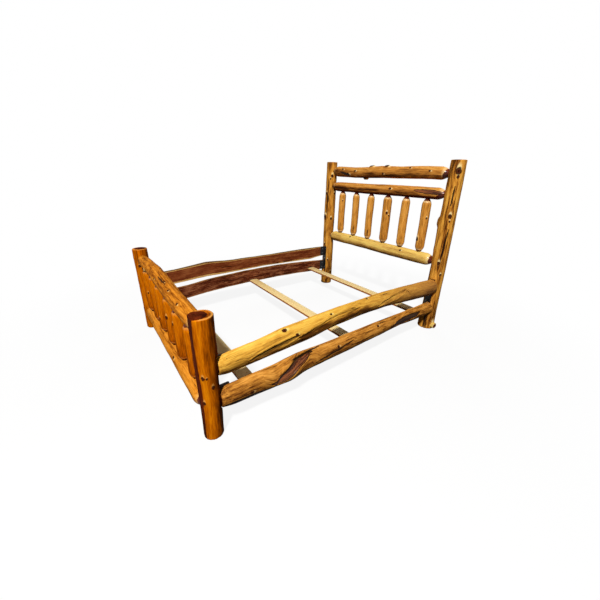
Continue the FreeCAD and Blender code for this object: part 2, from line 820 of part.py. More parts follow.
def bracket(end, side):
    """A welded steel bracket: a flange on the post's seat and a tab on each rail's sawn face.

    Its own origin is where the flange's back meets the rails' sawn faces, at its lower edge.
    """
    name = f"bracket_{end}_{side}"
    inward = -sides[side]["sign"]
    toward = -ends[end]["sign"]
    body = doc.addObject("PartDesign::Body", name)
    inboard = size("bracket_inboard") * inward
    outboard = size("bracket_outboard") * -inward
    flange = sketch_on(body, f"{name}_flange_sketch", "XZ_Plane")
    outline(flange, [(outboard, 0), (inboard, 0), (inboard, bracket_height), (outboard, bracket_height)])
    pad(body, f"{name}_flange", flange, plate, toward > 0)
    tabs = sketch_on(body, f"{name}_tab_sketch", "YZ_Plane")
    start = plate / 2 * toward
    finish = (plate + size("bracket_tab_length")) * toward
    corner = size("bracket_corner") * toward
    rise = size("bracket_corner")
    for low, high in ((0, tab_height), (bracket_height - tab_height, bracket_height)):
        outline(tabs, [
            (start, low), (finish - corner, low), (finish, rise + low),
            (finish, high - rise), (finish - corner, high), (start, high),
        ])
    pad(body, f"{name}_tabs", tabs, plate, inward < 0)
    lag_centres = [(lag_offset * inward, rise_of_lag) for rise_of_lag in lag_rises]
    drilled(body, f"{name}_lag_holes", "XZ_Plane", lag_centres,
            size("lag_radius") + size("hole_gap"), plate * 4, False)
    screw_centres = []
    for level in ("lower", "upper"):
        for step in (-1, 1):
            screw_centres.append((
                (plate + tab_screw_inset) * toward,
                tab_rises[level] + size("tab_screw_spacing") / 2 * step,
            ))
    drilled(body, f"{name}_screw_holes", "YZ_Plane", screw_centres,
            size("wood_screw_radius") + size("hole_gap"), plate * 4, False)
    place(
        body,
        half_width * sides[side]["sign"],
        (half_length - ends[end]["seat"]) * ends[end]["sign"],
        sides[side]["base"],
    )
    keep(name, body)


def slat_angle(place_name, share, side):
    """A short steel angle: a leg under the slat's end and a lip up the rail's sawn face.

    Its own origin is at the sawn face, on the leg's underside, at the slat's middle.
    """
    name = f"slat_angle_{place_name}_{side}"
    inward = -sides[side]["sign"]
    body = doc.addObject("PartDesign::Body", name)
    leg = size("angle_leg") * inward
    lip = size("angle_lip")
    thick = angle_plate * inward
    profile = sketch_on(body, f"{name}_profile", "XZ_Plane")
    outline(profile, [
        (0, 0), (leg, 0), (leg, angle_plate), (thick, angle_plate), (thick, lip), (0, lip),
    ])
    feature = pad(body, f"{name}_length", profile, size("angle_width"), False)
    feature.Midplane = True
    drilled(body, f"{name}_leg_hole", "XY_Plane", [(angle_screw_offset * inward, 0)],
            size("wood_screw_radius") + size("hole_gap"), angle_plate * 4, False)
    drilled(body, f"{name}_lip_hole", "YZ_Plane", [(0, lip_screw_rise)],
            size("wood_screw_radius") + size("hole_gap"), angle_plate * 4, False)
    place(
        body,
        half_width * sides[side]["sign"],
        size("bed_length") * share,
        angle_floor,
    )
    keep(name, body)


for end in ("head", "foot"):
    for side in ("left", "right"):
        bracket(end, side)
for place_name, share in slat_place_shares.items():
    for side in ("left", "right"):
        slat_angle(place_name, share, side)


def fastener(name, head_radius, head_height, shank_radius, length):
    """A hexagon-headed screw on its point, with the underside of its head at its own origin."""
    head = rod(f"{name}_head", HEAD_SIDES, head_radius, head_height)
    shank = rod(f"{name}_shank", SHANK_SIDES, shank_radius, length)
    place(shank, 0, 0, -length)
    return joined(name, [head, shank])


lag = (size("lag_head_radius"), size("lag_head_height"), size("lag_radius"), size("lag_length"))
tab_screw = (size("wood_screw_head_radius"), size("wood_screw_head_height"), size("wood_screw_radius"),
             size("wood_screw_length"))
slat_screw = (size("wood_screw_head_radius"), size("wood_screw_head_height"), size("wood_screw_radius"),
              size("slat_screw_length"))


def fastener_group(name, kind, spots):
    """Identical screws, kept as one sub-part of separate solids.

    Each spot is (x, y, z, axis, turn) for the underside of a head.
    """
    screws = []
    for number, (x, y, z, axis, turn) in enumerate(spots):
        screw = fastener(f"{name}_{number}", *kind)
        place(screw, x, y, z, axis, turn)
        screws.append(screw)
    group = doc.addObject("Part::Compound", name)
    group.Links = screws
    keep(name, group)


lag_spots = []
tab_spots = []
for end in ("head", "foot"):
    for side in ("left", "right"):
        sign = sides[side]["sign"]
        toward = -ends[end]["sign"]
        base = sides[side]["base"]
        post_face = (half_length - ends[end]["seat"] - plate) * ends[end]["sign"]
        for rise in lag_rises:
            x = (half_width - lag_offset) * sign
            lag_spots.append((x, post_face, base + rise, X_AXIS, -QUARTER_TURN * toward))
        screw_y = (half_length - ends[end]["seat"] - plate - tab_screw_inset) * ends[end]["sign"]
        for level in ("lower", "upper"):
            for step in (-1, 1):
                z = base + tab_rises[level] + size("tab_screw_spacing") / 2 * step
                x = (half_width - plate) * sign
                tab_spots.append((x, screw_y, z, Y_AXIS, -QUARTER_TURN * sign))
slat_spots = []
for share in slat_place_shares.values():
    for side in ("left", "right"):
        sign = sides[side]["sign"]
        y = size("bed_length") * share
        slat_spots.append(((half_width - angle_screw_offset) * sign, y, angle_floor, X_AXIS, HALF_TURN))
        lip_face = (half_width - angle_plate) * sign
        slat_spots.append((lip_face, y, angle_floor + lip_screw_rise, Y_AXIS, -QUARTER_TURN * sign))

fastener_group("bracket_lag_screws", lag, lag_spots)
fastener_group("rail_screws", tab_screw, tab_spots)
fastener_group("slat_screws", slat_screw, slat_spots)

doc.recompute()

# Stand the origin on the floor, at the middle of the bed's outline
for thing in doc.Objects:
    if "Invalid" in thing.State or "Error" in thing.State:
        raise RuntimeError(f"{thing.Label} did not build: {thing.State}")
whole = FreeCAD.BoundBox()
for node in nodes:
    whole.add(node.Shape.optimalBoundingBox(False, False))
centring = FreeCAD.Vector(-whole.Center.x, -whole.Center.y, -whole.ZMin)

os.makedirs("parts", exist_ok=True)
for node in nodes:
    shape = node.Shape.copy()
    if shape.isNull() or not shape.isValid():
        raise RuntimeError(f"{node.Label} has no valid shape")
    shape.translate(centring)
    shape.exportStep(f"parts/{node.Label}.step")
print("sub-parts", len(nodes), "box", whole.XLength, whole.YLength, whole.ZLength, "moved", centring)
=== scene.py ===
# %% [markdown]
# # Rustic log bed
#
# The bed is made of peeled cedar logs. Head and foot are built like ladders, with round
# tenons on the rails and spindles, and half-log rails join them on steel brackets.
# The CAD model is the frame: it gives every piece its place, and the pieces made here
# give it the knots, hollows and varnish that a real log has.

# %% Load the CAD model as the frame
import math
import random

import bmesh
import bpy
import numpy as np
from mathutils import Matrix, Vector, noise


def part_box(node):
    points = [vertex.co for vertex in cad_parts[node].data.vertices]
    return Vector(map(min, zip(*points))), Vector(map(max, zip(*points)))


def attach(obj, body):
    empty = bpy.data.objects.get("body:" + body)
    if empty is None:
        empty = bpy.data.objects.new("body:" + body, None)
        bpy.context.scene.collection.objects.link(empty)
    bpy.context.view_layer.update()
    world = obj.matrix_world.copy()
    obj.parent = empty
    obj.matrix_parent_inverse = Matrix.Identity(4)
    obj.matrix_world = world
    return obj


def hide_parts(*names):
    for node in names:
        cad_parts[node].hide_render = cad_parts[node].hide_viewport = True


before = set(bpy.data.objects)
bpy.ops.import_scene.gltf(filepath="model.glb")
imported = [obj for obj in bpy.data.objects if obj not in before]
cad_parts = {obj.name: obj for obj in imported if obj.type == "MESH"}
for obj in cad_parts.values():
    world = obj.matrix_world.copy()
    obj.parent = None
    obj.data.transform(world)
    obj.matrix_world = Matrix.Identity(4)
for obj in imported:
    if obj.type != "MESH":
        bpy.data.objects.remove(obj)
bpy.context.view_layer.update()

print("CAD nodes:", len(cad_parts))

# %% [markdown]
# Sizes are written in millimetres, as a maker reads them, and turned to metres in one place.
# The middle between the four posts isn't quite the origin, because the logs are uneven, so it is
# measured from the middle slat, whose place along the bed is known.

# %% Common sizes
MM = 0.001
BED_WIDTH = 1545.0
BED_LENGTH = 2200.0
MIDDLE_SLAT_SHARE = -0.0135
ENDS = {"foot": -1, "head": 1}

# points that lie nearer than this, in metres, are one point
MERGE = 1e-6

slat_low, slat_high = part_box("slat_middle")
middle_x = (slat_low.x + slat_high.x) / 2
middle_y = (slat_low.y + slat_high.y) / 2 - BED_LENGTH * MM * MIDDLE_SLAT_SHARE
print("middle between the posts:", round(middle_x, 5), round(middle_y, 5))


def post_centre(side, end):
    """Where a post stands: side is -1 for left and 1 for right, and end is foot or head."""
    return Vector((middle_x + BED_WIDTH / 2 * MM * side, middle_y + BED_LENGTH / 2 * MM * ENDS[end], 0))


# %% [markdown]
# A log's table gives its girth and sway at a few places, as a maker would measure it with
# callipers. Between them the values are joined by straight lines and then smoothed over a hand's
# width, so that the log has no corners where the rows are.

# %% Read a log's table
SMOOTHING, SMOOTHING_REACH = 26.0, 60.0
FINE_STEP = 4.0
END_PLACES = [0.0, 0.6, 1.8, 3.6, 6.5, 10.0]


def table_column(rows, column, places):
    """One column of a table of rows (place, values...) at many places, smoothed along the log."""
    known = [row[0] for row in rows]
    values = [row[column] for row in rows]
    margin = SMOOTHING_REACH * 2
    fine = np.arange(known[0] - margin, known[-1] + margin, FINE_STEP)
    straight = np.interp(fine, known, values)
    reach = np.arange(-SMOOTHING_REACH, SMOOTHING_REACH + 1, FINE_STEP)
    weights = np.exp(-((reach / SMOOTHING) ** 2))
    padded = np.pad(straight, len(reach) // 2, mode="edge")
    smooth = np.convolve(padded, weights / weights.sum(), mode="valid")
    return np.interp(places, fine, smooth)


def stations(length, step):
    """Places along a log, close together at the ends, where its edges are rounded."""
    margin = END_PLACES[-1]
    count = max(2, round((length - margin * 2) / step))
    inner = [margin + (length - margin * 2) * number / count for number in range(1, count)]
    return END_PLACES + inner + [length - place for place in reversed(END_PLACES)]


print("stations on a head post:", len(stations(1538, 6)))

# %% [markdown]
# A log is a solid of revolution that nature bent. So each one starts as a profile spun round its
# axis, in a plain unit form: the distance from the axis is a share of the radius, and the height
# is the number of a station. A half log is spun through half a turn, and a grid closes its sawn
# face. Sculpting could also make such a shape, but it couldn't follow the maker's table.

# %% Spin the plain form of a log
RING_SHARES = (0.0, 1 / 3, 2 / 3, 1.0)
UNIT_MERGE = 1e-4


def unit_log(station_count, segments, half_turn_from=None):
    """A closed unit cylinder with one ring for each station, or half of one from the given angle."""
    bm = bmesh.new()
    last = station_count - 1
    profile = [(share, 0) for share in RING_SHARES]
    profile += [(1.0, number) for number in range(1, last)]
    profile += [(share, last) for share in reversed(RING_SHARES)]
    turn = math.tau if half_turn_from is None else math.pi
    start = 0.0 if half_turn_from is None else half_turn_from
    points = [
        bm.verts.new((share * math.cos(start), share * math.sin(start), number))
        for share, number in profile
    ]
    edges = [bm.edges.new(pair) for pair in zip(points, points[1:])]
    bmesh.ops.spin(
        bm,
        geom=points + edges,
        cent=(0, 0, 0),
        axis=(0, 0, 1),
        angle=turn,
        steps=segments,
        use_merge=half_turn_from is None,
    )
    if half_turn_from is not None:
        across = (len(RING_SHARES) - 1) * 2
        grid = bmesh.ops.create_grid(bm, x_segments=across, y_segments=last, size=1.0)
        stand = Matrix.Rotation(start, 4, "Z") @ Matrix.Translation((0, 0, last / 2))
        stand = stand @ Matrix.Rotation(math.pi / 2, 4, "X") @ Matrix.Diagonal((1, last / 2, 1, 1))
        bmesh.ops.transform(bm, matrix=stand, verts=grid["verts"])
    bmesh.ops.remove_doubles(bm, verts=bm.verts, dist=UNIT_MERGE)
    bmesh.ops.recalc_face_normals(bm, faces=bm.faces)
    return bm


trial = unit_log(20, 24, 0.0)
print("open edges of a half log:", sum(1 for edge in trial.edges if not edge.is_manifold))
trial.free()

# %% [markdown]
# Now the unit form takes the shape of its own log. Every point is moved to its station, out to
# the log's radius there, and then by what the tree and the drawknife left: long swells, ridges
# between the knife's cuts, knots with a collar round them, and hollows where bark grew in.

# %% Marks of growth and of the knife
FAR_FROM_KNOTS = 4.0

# relief: how often it repeats round the log, and its length along it in millimetres
RELIEF = {"swell": (1.1, 150), "lump": (2.6, 55), "ridge": (3.4, 230)}

# knots: widths and stretches in knot radii, depths and heights in millimetres
KNOT_REACH, KNOT_STRETCH = 6, 1.35
COLLAR_AHEAD, COLLAR_STRETCH, COLLAR_WIDTH = 1.1, 2.2, 1.15
GRAIN_BEND, BEND_WIDTH, SWELLING_WIDTH = 0.75, 2.4, 1.7
STUB_RISE, STUB_EDGE, STUB_SLOPE = 7, 2.0, 1.1
PIT_DEPTH_SHARE, PIT_DEEPEST, PIT_WIDTH = 0.16, 2.2, 0.6

# scars: lengths in millimetres, and the rest as shares of the scar's width or depth
SCAR_MARGIN = 2
WANDER_LENGTH, WANDER_SHARE = 90, 0.4
TIP_SHARE, TIP_POWER = 0.30, 0.6
TORN_WIDTH, TORN_LENGTH, TORN_SHARE = 9, 70, 0.5
LIP_PLACE, LIP_WIDTH, LIP_SHARE = 1.35, 0.4, 0.25
STEEPER_SHARE, HOLLOW_SHARE, OVERHANG_SHARE = 0.6, 0.78, 0.22
DEEP_SCAR, DEEP_ONE_SIDED, SHALLOW_ONE_SIDED = 2, 0.85, 0.35
SWEEP_WIDTH, SWEEP_LENGTH = 2.2, 2

# stains and painted shading: how they fade past their ends, and how patchy they are
STAIN_AND_SHADING_FADE = 60.0
PATCH_LENGTH, PATCHES_ROUND, PATCHINESS = 110, 2, 0.8


def bell(across, along=0.0):
    """1 in the middle of a mark, and falling smoothly to 0 away from it."""
    return math.exp(-(across ** 2) - along ** 2)


def clamped(value, low=0.0):
    """A value kept between a low limit and 1."""
    return max(low, min(1.0, value))


def eased(share):
    """A share from 0 to 1 that starts and ends gently."""
    return share * share * (3 - 2 * share)


def turn_between(angle, other):
    """The turn from one angle to another, by the shorter way."""
    return (angle - other + math.pi) % math.tau - math.pi


def surface_bump(log, angle, along, offset):
    """The relief between the knots: swells and lumps, less the ridges between knife cuts."""
    value = {}
    for name, shift in (("swell", offset), ("lump", offset * 2), ("ridge", -offset)):
        around, length = RELIEF[name]
        place = Vector((math.cos(angle) * around, math.sin(angle) * around, along / length))
        value[name] = noise.noise(place + shift) * log[name]
    return value["swell"] + value["lump"] - abs(value["ridge"])


def knot_marks(log, angle, along, barrel):
    """What knots do at a point: its rise, the turn of its grain, the nearest knot, the pale collar."""
    rise = turn = pale = 0.0
    nearest = FAR_FROM_KNOTS
    for place, knot_angle, size, height in log["knots"]:
        ahead = along - place
        if abs(ahead) > size * KNOT_REACH:
            continue
        over = turn_between(angle, knot_angle) * barrel
        reach = math.hypot(ahead / KNOT_STRETCH, over) / size
        nearest = min(nearest, reach)
        beside = math.hypot((ahead - size * COLLAR_AHEAD) / COLLAR_STRETCH, over) / size
        pale = max(pale, bell(beside / COLLAR_WIDTH))
        turn -= over / barrel * GRAIN_BEND * bell(reach / BEND_WIDTH)
        swelling = bell(reach / SWELLING_WIDTH)
        if height > STUB_RISE:
            swelling = eased(clamped((STUB_EDGE - reach) / STUB_SLOPE))
        pit = min(PIT_DEEPEST, size * PIT_DEPTH_SHARE)
        rise += height * swelling - pit * bell(reach / PIT_WIDTH)
    return rise, turn, nearest, pale


def scar_marks(log, angle, along, barrel, offset):
    """What scars do at a point: how deep it lies, the turn of its grain, and how much it darkens there,
    partly from the scar's own deep brown and partly from shade painted into the hollow.
    """
    sunk = turn = dark_bark_and_shade = 0.0
    for start, start_angle, stop, stop_angle, width, depth, strength in log["scars"]:
        beyond = max(start - along, along - stop, 0) / width
        if beyond >= SCAR_MARGIN:
            continue
        step = clamped((along - start) / (stop - start))
        line = start_angle + (stop_angle - start_angle) * step
        wander = noise.noise(Vector((along / WANDER_LENGTH, offset.x, 0))) * width * WANDER_SHARE
        over = turn_between(angle, line) * barrel + wander
        narrow = width * (TIP_SHARE + (1 - TIP_SHARE) * math.sin(math.pi * step) ** TIP_POWER)
        near = max(0.0, 1 - (over / narrow) ** 2 - beyond ** 2)
        torn = noise.noise(Vector((over / TORN_WIDTH, along / TORN_LENGTH, offset.y)))
        tilt = clamped(over / narrow, -1.0)
        lip = bell((abs(over) - narrow * LIP_PLACE) / (narrow * LIP_WIDTH), beyond)
        wall = min(1.0, near / (1 - STEEPER_SHARE * strength))
        hollow = eased(wall) * (HOLLOW_SHARE - OVERHANG_SHARE * tilt)
        sunk += depth * (hollow - LIP_SHARE * lip - TORN_SHARE * torn * near)
        # the darkening is ingrown bark and painted shade: a deep scar's painted shadow lies thicker on one
        # wall, and a shallow hollow is shaded all round
        one_sided = DEEP_ONE_SIDED * tilt if depth > DEEP_SCAR else SHALLOW_ONE_SIDED
        dark_bark_and_shade = max(dark_bark_and_shade, strength * near ** (1.0 - one_sided))
        sweep = bell(over / (width * SWEEP_WIDTH), beyond / SWEEP_LENGTH)
        turn -= (stop_angle - start_angle) * (step - 0.5) * sweep
    return sunk, turn, dark_bark_and_shade


def stain_and_shading_at(log, angle, along, offset):
    """How much darker the wood is at a point: the log's broad discolouring, and the shade painted on its
    shaded sides. Below 0 it is paler, a painted highlight on its lit sides.
    """
    patch = noise.noise(Vector((along / PATCH_LENGTH, angle * PATCHES_ROUND, offset.z)))
    total = 0.0
    for start, stop, middle, reach, amount in log["stains"]:
        past = max(start - along, along - stop, 0)
        total += amount * bell(turn_between(angle, middle) / reach, past / STAIN_AND_SHADING_FADE)
    return total * (1 + PATCHINESS * patch)


print("turn from 350 to 10 degrees:", round(math.degrees(turn_between(math.radians(10), math.radians(350)))))

# %% [markdown]
# The material needs to know where it is in the wood, not in the room. So each point also keeps
# its place from the pith, how deep it lies in the log, how much the draw knife took there, how
# near the next knot is, how pale the wood beside the knot is (on a post's end rim, a painted
# glint), how dark the ingrown bark and the shade painted into hollows are, whether a saw cut it,
# how much stains and the painted shade of that side darken it, and where painted light brightens it.

# %% Shape one log
LAYERS = ("depth", "pared", "knot", "collar", "bark_and_shade", "sawn", "stain")
SURFACE_SHARE = 0.99
# the rounded rim of a post's sawn end: paler knife-cut wood with a painted glint
RIM_SHARE, RIM_PALE_AND_GLINT = 0.85, 0.75


def edge_drop(distance, rounding):
    """How much a rounded edge has lost, at a distance from the log's end."""
    if distance >= rounding:
        return 0.0
    return rounding - math.sqrt(rounding ** 2 - (rounding - distance) ** 2)


def pencil_radius(distance, barrel, ends):
    """A log's radius near a pencilled end: tenon, shoulder, and a taper that swells to the barrel."""
    if distance <= ends["tenon_length"]:
        return ends["tenon_radius"]
    along = (distance - ends["tenon_length"]) / ends["taper"]
    if along >= 1:
        return barrel
    base = ends["tenon_radius"] + ends["shoulder"]
    return base + (barrel - base) * (1 - (1 - along) ** ends["swell"])


def cut_to_flats(log, x, y, along):
    """A point's place after the flats are hewn, and 1 if one of them cut it."""
    trimmed = 0.0
    for facing, low_reach, high_reach, low, high in log["flats"]:
        reach = low_reach + (high_reach - low_reach) * along / log["places"][-1]
        over = x * math.cos(facing) + y * math.sin(facing) - reach
        if low <= along <= high and over > 0:
            x -= over * math.cos(facing)
            y -= over * math.sin(facing)
            trimmed = 1.0
    return x, y, trimmed


def shape_log(bm, log):
    """Move a unit log's points onto its real surface, and note where each lies in the wood."""
    wood = bm.verts.layers.float_vector.new("wood")
    layers = {name: bm.verts.layers.float.new(name) for name in LAYERS}
    places = log["places"]
    last = len(places) - 1
    girths, aside, ahead = (table_column(log["rows"], column, places) for column in (1, 2, 3))
    whole = log["half_from"] is None
    # the heartwood of a half log swells less than the log does
    heart_girths = girths if whole else [sum(girths) / len(girths)] * len(girths)
    rng = random.Random(log["seed"])
    offset = Vector((rng.uniform(0, 50), rng.uniform(0, 50), rng.uniform(0, 50)))
    pith_x, pith_y = log["pith"]
    for vert in bm.verts:
        share = min(1.0, math.hypot(vert.co.x, vert.co.y))
        angle = math.atan2(vert.co.y, vert.co.x)
        station = round(vert.co.z)
        along = places[station]
        barrel = girths[station]
        from_end = min(along, places[-1] - along)
        radius = pencil_radius(from_end, barrel, log["ends"]) if log["ends"] else barrel
        cut = min(1.0, radius / barrel)
        rise, knot_turn, nearest, pale = knot_marks(log, angle, along, barrel)
        sunk, scar_turn, dark_bark_and_shade = scar_marks(log, angle, along, barrel, offset)
        bump = surface_bump(log, angle, along, offset) + rise - sunk
        bent = angle + knot_turn + scar_turn
        radius += bump * cut - edge_drop(from_end, log["rounding"])
        x, y, trimmed = cut_to_flats(
            log, radius * share * math.cos(angle), radius * share * math.sin(angle), along)
        inner = math.hypot(x, y)
        vert[wood] = (
            (inner * math.cos(bent) - pith_x * barrel) * MM,
            (inner * math.sin(bent) - pith_y * barrel) * MM,
            along * MM,
        )
        deep = math.hypot(x - pith_x * barrel, y - pith_y * barrel)
        on_end = station in (0, last) and share < 1
        on_face = not whole and share < SURFACE_SHARE and not on_end
        on_surface = share > SURFACE_SHARE
        # the rounded rim of a sawn end on a whole log is paler knife-cut wood with a painted glint, kept with
        # the knot collars
        if whole and not log["ends"] and deep > barrel * RIM_SHARE:
            pale = max(pale, RIM_PALE_AND_GLINT - from_end / log["rounding"])
        kept = {
            "depth": (deep - bump * share * cut) / math.sqrt(barrel * heart_girths[station]),
            "pared": 1 - cut,
            "knot": nearest if on_surface else FAR_FROM_KNOTS,
            # the pale wood round knots, and the painted glint on sawn end rims
            "collar": pale if on_surface else 0.0,
            # ingrown bark, together with the shade painted into hollows and creases
            "bark_and_shade": dark_bark_and_shade,
            "sawn": 1.0 if on_end or on_face else trimmed,
            # broad stains, with painted shade on a log's shaded sides and painted light on its lit sides
            "stain": stain_and_shading_at(log, angle, along, offset),
        }
        for name, value in kept.items():
            vert[layers[name]] = value
        vert.co = ((x + aside[station]) * MM, (y + ahead[station]) * MM, along * MM)


print("layers kept at each point:", ("wood",) + LAYERS)

# %% [markdown]
# One function carries a log from its table to a finished object. The log is stood or laid in its
# place by a matrix whose columns are its own directions, and that matrix is applied to the mesh,
# so the object stays at the origin, where the frame wants it.

# %% Make a log
X, Y, Z = Vector((1, 0, 0)), Vector((0, 1, 0)), Vector((0, 0, 1))
STANDING = (X, Y, Z)
ACROSS = (Z, -Y, X)
ALONG = (Z, X, Y)
CREASE = 35.0
PLAIN_LOG = {
    "knots": [], "scars": [], "stains": [], "flats": [], "half_from": None, "ends": None,
    "pith": (0.0, 0.0), "rounding": 6.0, "swell": 1.8, "lump": 1.1, "ridge": 2.0,
}
ANGLE_COLUMNS = {"knots": (1,), "scars": (1, 3), "stains": (2, 3), "flats": (0,)}
finished = []


def lay(directions, origin):
    """The matrix that stands a log on its origin with its own directions."""
    return Matrix.Translation(origin) @ Matrix(directions).transposed().to_4x4()


def aimed(place, direction, forward):
    """The matrix that stands a thing at a place with its forward axis along a direction."""
    return Matrix.Translation(place) @ direction.to_track_quat(forward, "Y").to_matrix().to_4x4()


def to_object(bm, name, finish):
    """Turn a bmesh into a finished piece that rides on the bed and has its finish."""
    mesh = bpy.data.meshes.new(name)
    bm.to_mesh(mesh)
    bm.free()
    mesh.shade_smooth()
    mesh.set_sharp_from_angle(angle=math.radians(CREASE))
    piece = bpy.data.objects.new(name, mesh)
    bpy.context.scene.collection.objects.link(piece)
    mesh.materials.append(finish)
    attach(piece, "root")
    finished.append(piece)
    return piece


def make_log(node, directions, origin, rows, finish, slot="peeled_log", segments=64, step=7.0, **own):
    """A whole or half log from its table, with its marks in millimetres and degrees."""
    log = {**PLAIN_LOG, **own, "rows": rows, "seed": node, "places": stations(rows[-1][0], step)}
    for marks, columns in ANGLE_COLUMNS.items():
        log[marks] = [
            tuple(math.radians(value) if column in columns else value for column, value in enumerate(row))
            for row in log[marks]
        ]
    bm = unit_log(len(log["places"]), segments, log["half_from"])
    shape_log(bm, log)
    bmesh.ops.transform(bm, matrix=lay(directions, origin), verts=bm.verts)
    bmesh.ops.recalc_face_normals(bm, faces=bm.faces)
    piece = to_object(bm, f"{node}_wood", finish)
    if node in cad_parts:
        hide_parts(node)


print("directions of a log laid along the bed:", [tuple(direction) for direction in ALONG])


# %% [markdown]
# Materials are trees of nodes. One small function adds a node, sets it up and links it, and
# another turns the sRGB hex code of a colour into the linear values that the sockets take.
# Inputs are given by name, or by their number among those in use, because a node such as Mix
# hides the ones that its settings don't need.

# %% Colour and node helpers
def linear(code):
    """An sRGB hex colour as linear red, green, blue and alpha."""
    parts = [int(code[place:place + 2], 16) / 255 for place in (0, 2, 4)]
    return [part / 12.92 if part <= 0.04045 else ((part + 0.055) / 1.055) ** 2.4 for part in parts] + [1.0]


def add_node(tree, kind, inputs=None, stops=(), **settings):
    """Add a node with its settings. An input is a value, a socket, or a node, which is linked as it is."""
    node = tree.nodes.new("ShaderNode" + kind)
    for name, value in settings.items():
        setattr(node, name, value)
    if stops:
        elements = node.color_ramp.elements
        while len(elements) < len(stops):
            elements.new(1.0)
        for element, (position, colour) in zip(elements, stops):
            element.position = position
            element.color = colour
    in_use = [socket for socket in node.inputs if socket.enabled]
    for key, value in (inputs or {}).items():
        socket = in_use[key] if isinstance(key, int) else node.inputs[key]
        if isinstance(value, bpy.types.Node):
            value = next(output for output in value.outputs if output.enabled)
        if isinstance(value, bpy.types.NodeSocket):
            tree.links.new(value, socket)
        else:
            socket.default_value = value
    return node


def new_material(name):
    """An empty material with only its output node."""
    material = bpy.data.materials.new(name)
    material.use_nodes = True
    material.node_tree.nodes.clear()
    output = add_node(material.node_tree, "OutputMaterial")
    return material, material.node_tree, output


print("cedar sapwood in linear values:", [round(value, 3) for value in linear("D49A4C")])

# %% [markdown]
# The logs are peeled cedar under a clear varnish. The sapwood under the bark is golden to orange,
# the heartwood is dark red-brown, and it shows wherever the wood is cut deep: on sawn ends, on
# the pencil tapers and on the sawn faces of the rails. Fibres, flecks and broader dark streaks
# all run along the log, so each is a noise that reads the place in the wood that the points keep,
# squeezed along the log. Their sum picks one of four tones, from the palest knife cut to the
# darkest streak, which gives the wood its lively contrast. The varnish is a thin clear coat.
#
# Real fibres are a tenth of a millimetre wide. Here they are drawn 3.5 mm wide, and growth rings
# 3.5 mm apart, so that they still show from across a room. On the headboard, which stands farther
# away, every pattern is drawn half as coarse again.

# %% Peeled cedar under varnish
# each kind of grain: its width in millimetres, its squeeze along the log, its detail and roughness
GRAIN = {
    "fibres": (3.5, 0.05, 4.0, 0.65),
    "flecks": (6.0, 0.14, 3.0, 0.6),
    "streaks": (14.0, 0.055, 3.0, 0.6),
    "patches": (45.0, 0.22, 3.0, 0.55),
    "crumbs": (7.0, 0.5, 3.0, 0.7),
    "drift": (28.0, 0.02, 1.0, 0.5),
    "saw_marks": (7.0, 1.0, 2.0, 0.5),
}
TONE_SHARES = {"fibres": 0.25, "flecks": 0.20, "streaks": 0.30, "patches": 0.25}
TONE_STOPS = (0.0, 0.40, 0.75, 1.0)
RING, RING_PUSH, RING_SHARE = 3.5, 22.0, 0.010

# limits of the noise: the first is for plain wood, and the second is added for streaked wood
TONE_FROM, TONE_TO = (0.36, 0.06), (0.74, -0.13)
STREAK_FROM, STREAK_TO, STREAK_MOST = (0.64, -0.10), (0.72, -0.12), 0.9
BROWNER_TONE, BROWNER_SHARE = 0.04, 0.5
HEART_STOPS = (0.12, 0.42, 0.74)
HEART_RAGGED, HEART_PATCHY, HEART_FROM, HEART_TO = 0.16, 0.10, 0.14, 0.12
FRESH_FROM, FRESH_TO, FRESH_MOST = 0.05, 0.16, 0.5
# the painted shade along a sawn face's upper edge
RIM_FROM, RIM_TO, RIM_RISE = 0.86, 0.92, 10.0

# each mark: its layer, the grain that frays its edge, how frayed, outer and inner edge, most, colour
MARKS = [
    # the collar mark paints the pale wood round the knots and the painted glint on sawn end rims
    ("collar", "fibres", 1.2, 0.25, 0.85, 0.9, "collar"),
    ("knot", "crumbs", 1.0, 1.40, 1.00, 0.95, "200E08"),
    ("knot", "crumbs", 1.6, 0.90, 0.65, 0.8, "5A2614"),
    ("knot", "crumbs", 2.0, 0.45, 0.25, 1.0, "1A0A06"),
    # the bark marks paint ingrown bark, and with it the shade in hollows and creases
    ("bark_and_shade", "flecks", 0.8, 0.03, 0.22, 0.95, "20100A"),
    ("bark_and_shade", "flecks", 1.0, 0.58, 0.84, 0.85, "98542A"),
    ("bark_and_shade", "streaks", 4.4, 0.82, 1.06, 0.85, "34160C"),
]
CHECK_FROM, CHECK_TO, CHECKED_FROM, CHECKED_TO = 0.007, 0.002, 0.50, 0.57
FIBRE_RELIEF, STREAK_RELIEF, CHECK_RELIEF, RELIEF_HEIGHT = 0.6, 0.7, -0.8, 1.6
SCAR_GLOSS, GLOSS_FROM, GLOSS_TO, LEAST_GLOSS, MOST_GLOSS = 0.3, 0.04, 0.25, 0.02, 0.35


def grain_noises(tree, place, coarse):
    """One noise for each kind of grain, drawn along the log."""
    grain = {}
    for key, (width, squeeze, detail, roughness) in GRAIN.items():
        squeezed = add_node(tree, "VectorMath", {0: place, 1: (1.0, 1.0, squeeze)}, operation="MULTIPLY")
        grain[key] = add_node(tree, "TexNoise", {
            "Vector": squeezed, "Scale": 1 / (width * coarse * MM), "Detail": detail, "Roughness": roughness})
    return grain


def growth_rings(tree, place, patches, coarse):
    """Rings counted out from the pith, and pushed about by the patches."""
    flat_place = add_node(tree, "VectorMath", {0: place, 1: (1.0, 1.0, 0.0)}, operation="MULTIPLY")
    from_pith = add_node(tree, "VectorMath", {0: flat_place}, operation="LENGTH")
    turns = add_node(tree, "Math", {0: from_pith, 1: math.tau / (RING * coarse * MM)}, operation="MULTIPLY")
    pushed = add_node(tree, "Math", {0: patches, 1: RING_PUSH, 2: turns}, operation="MULTIPLY_ADD")
    return add_node(tree, "Math", {0: pushed}, operation="SINE")


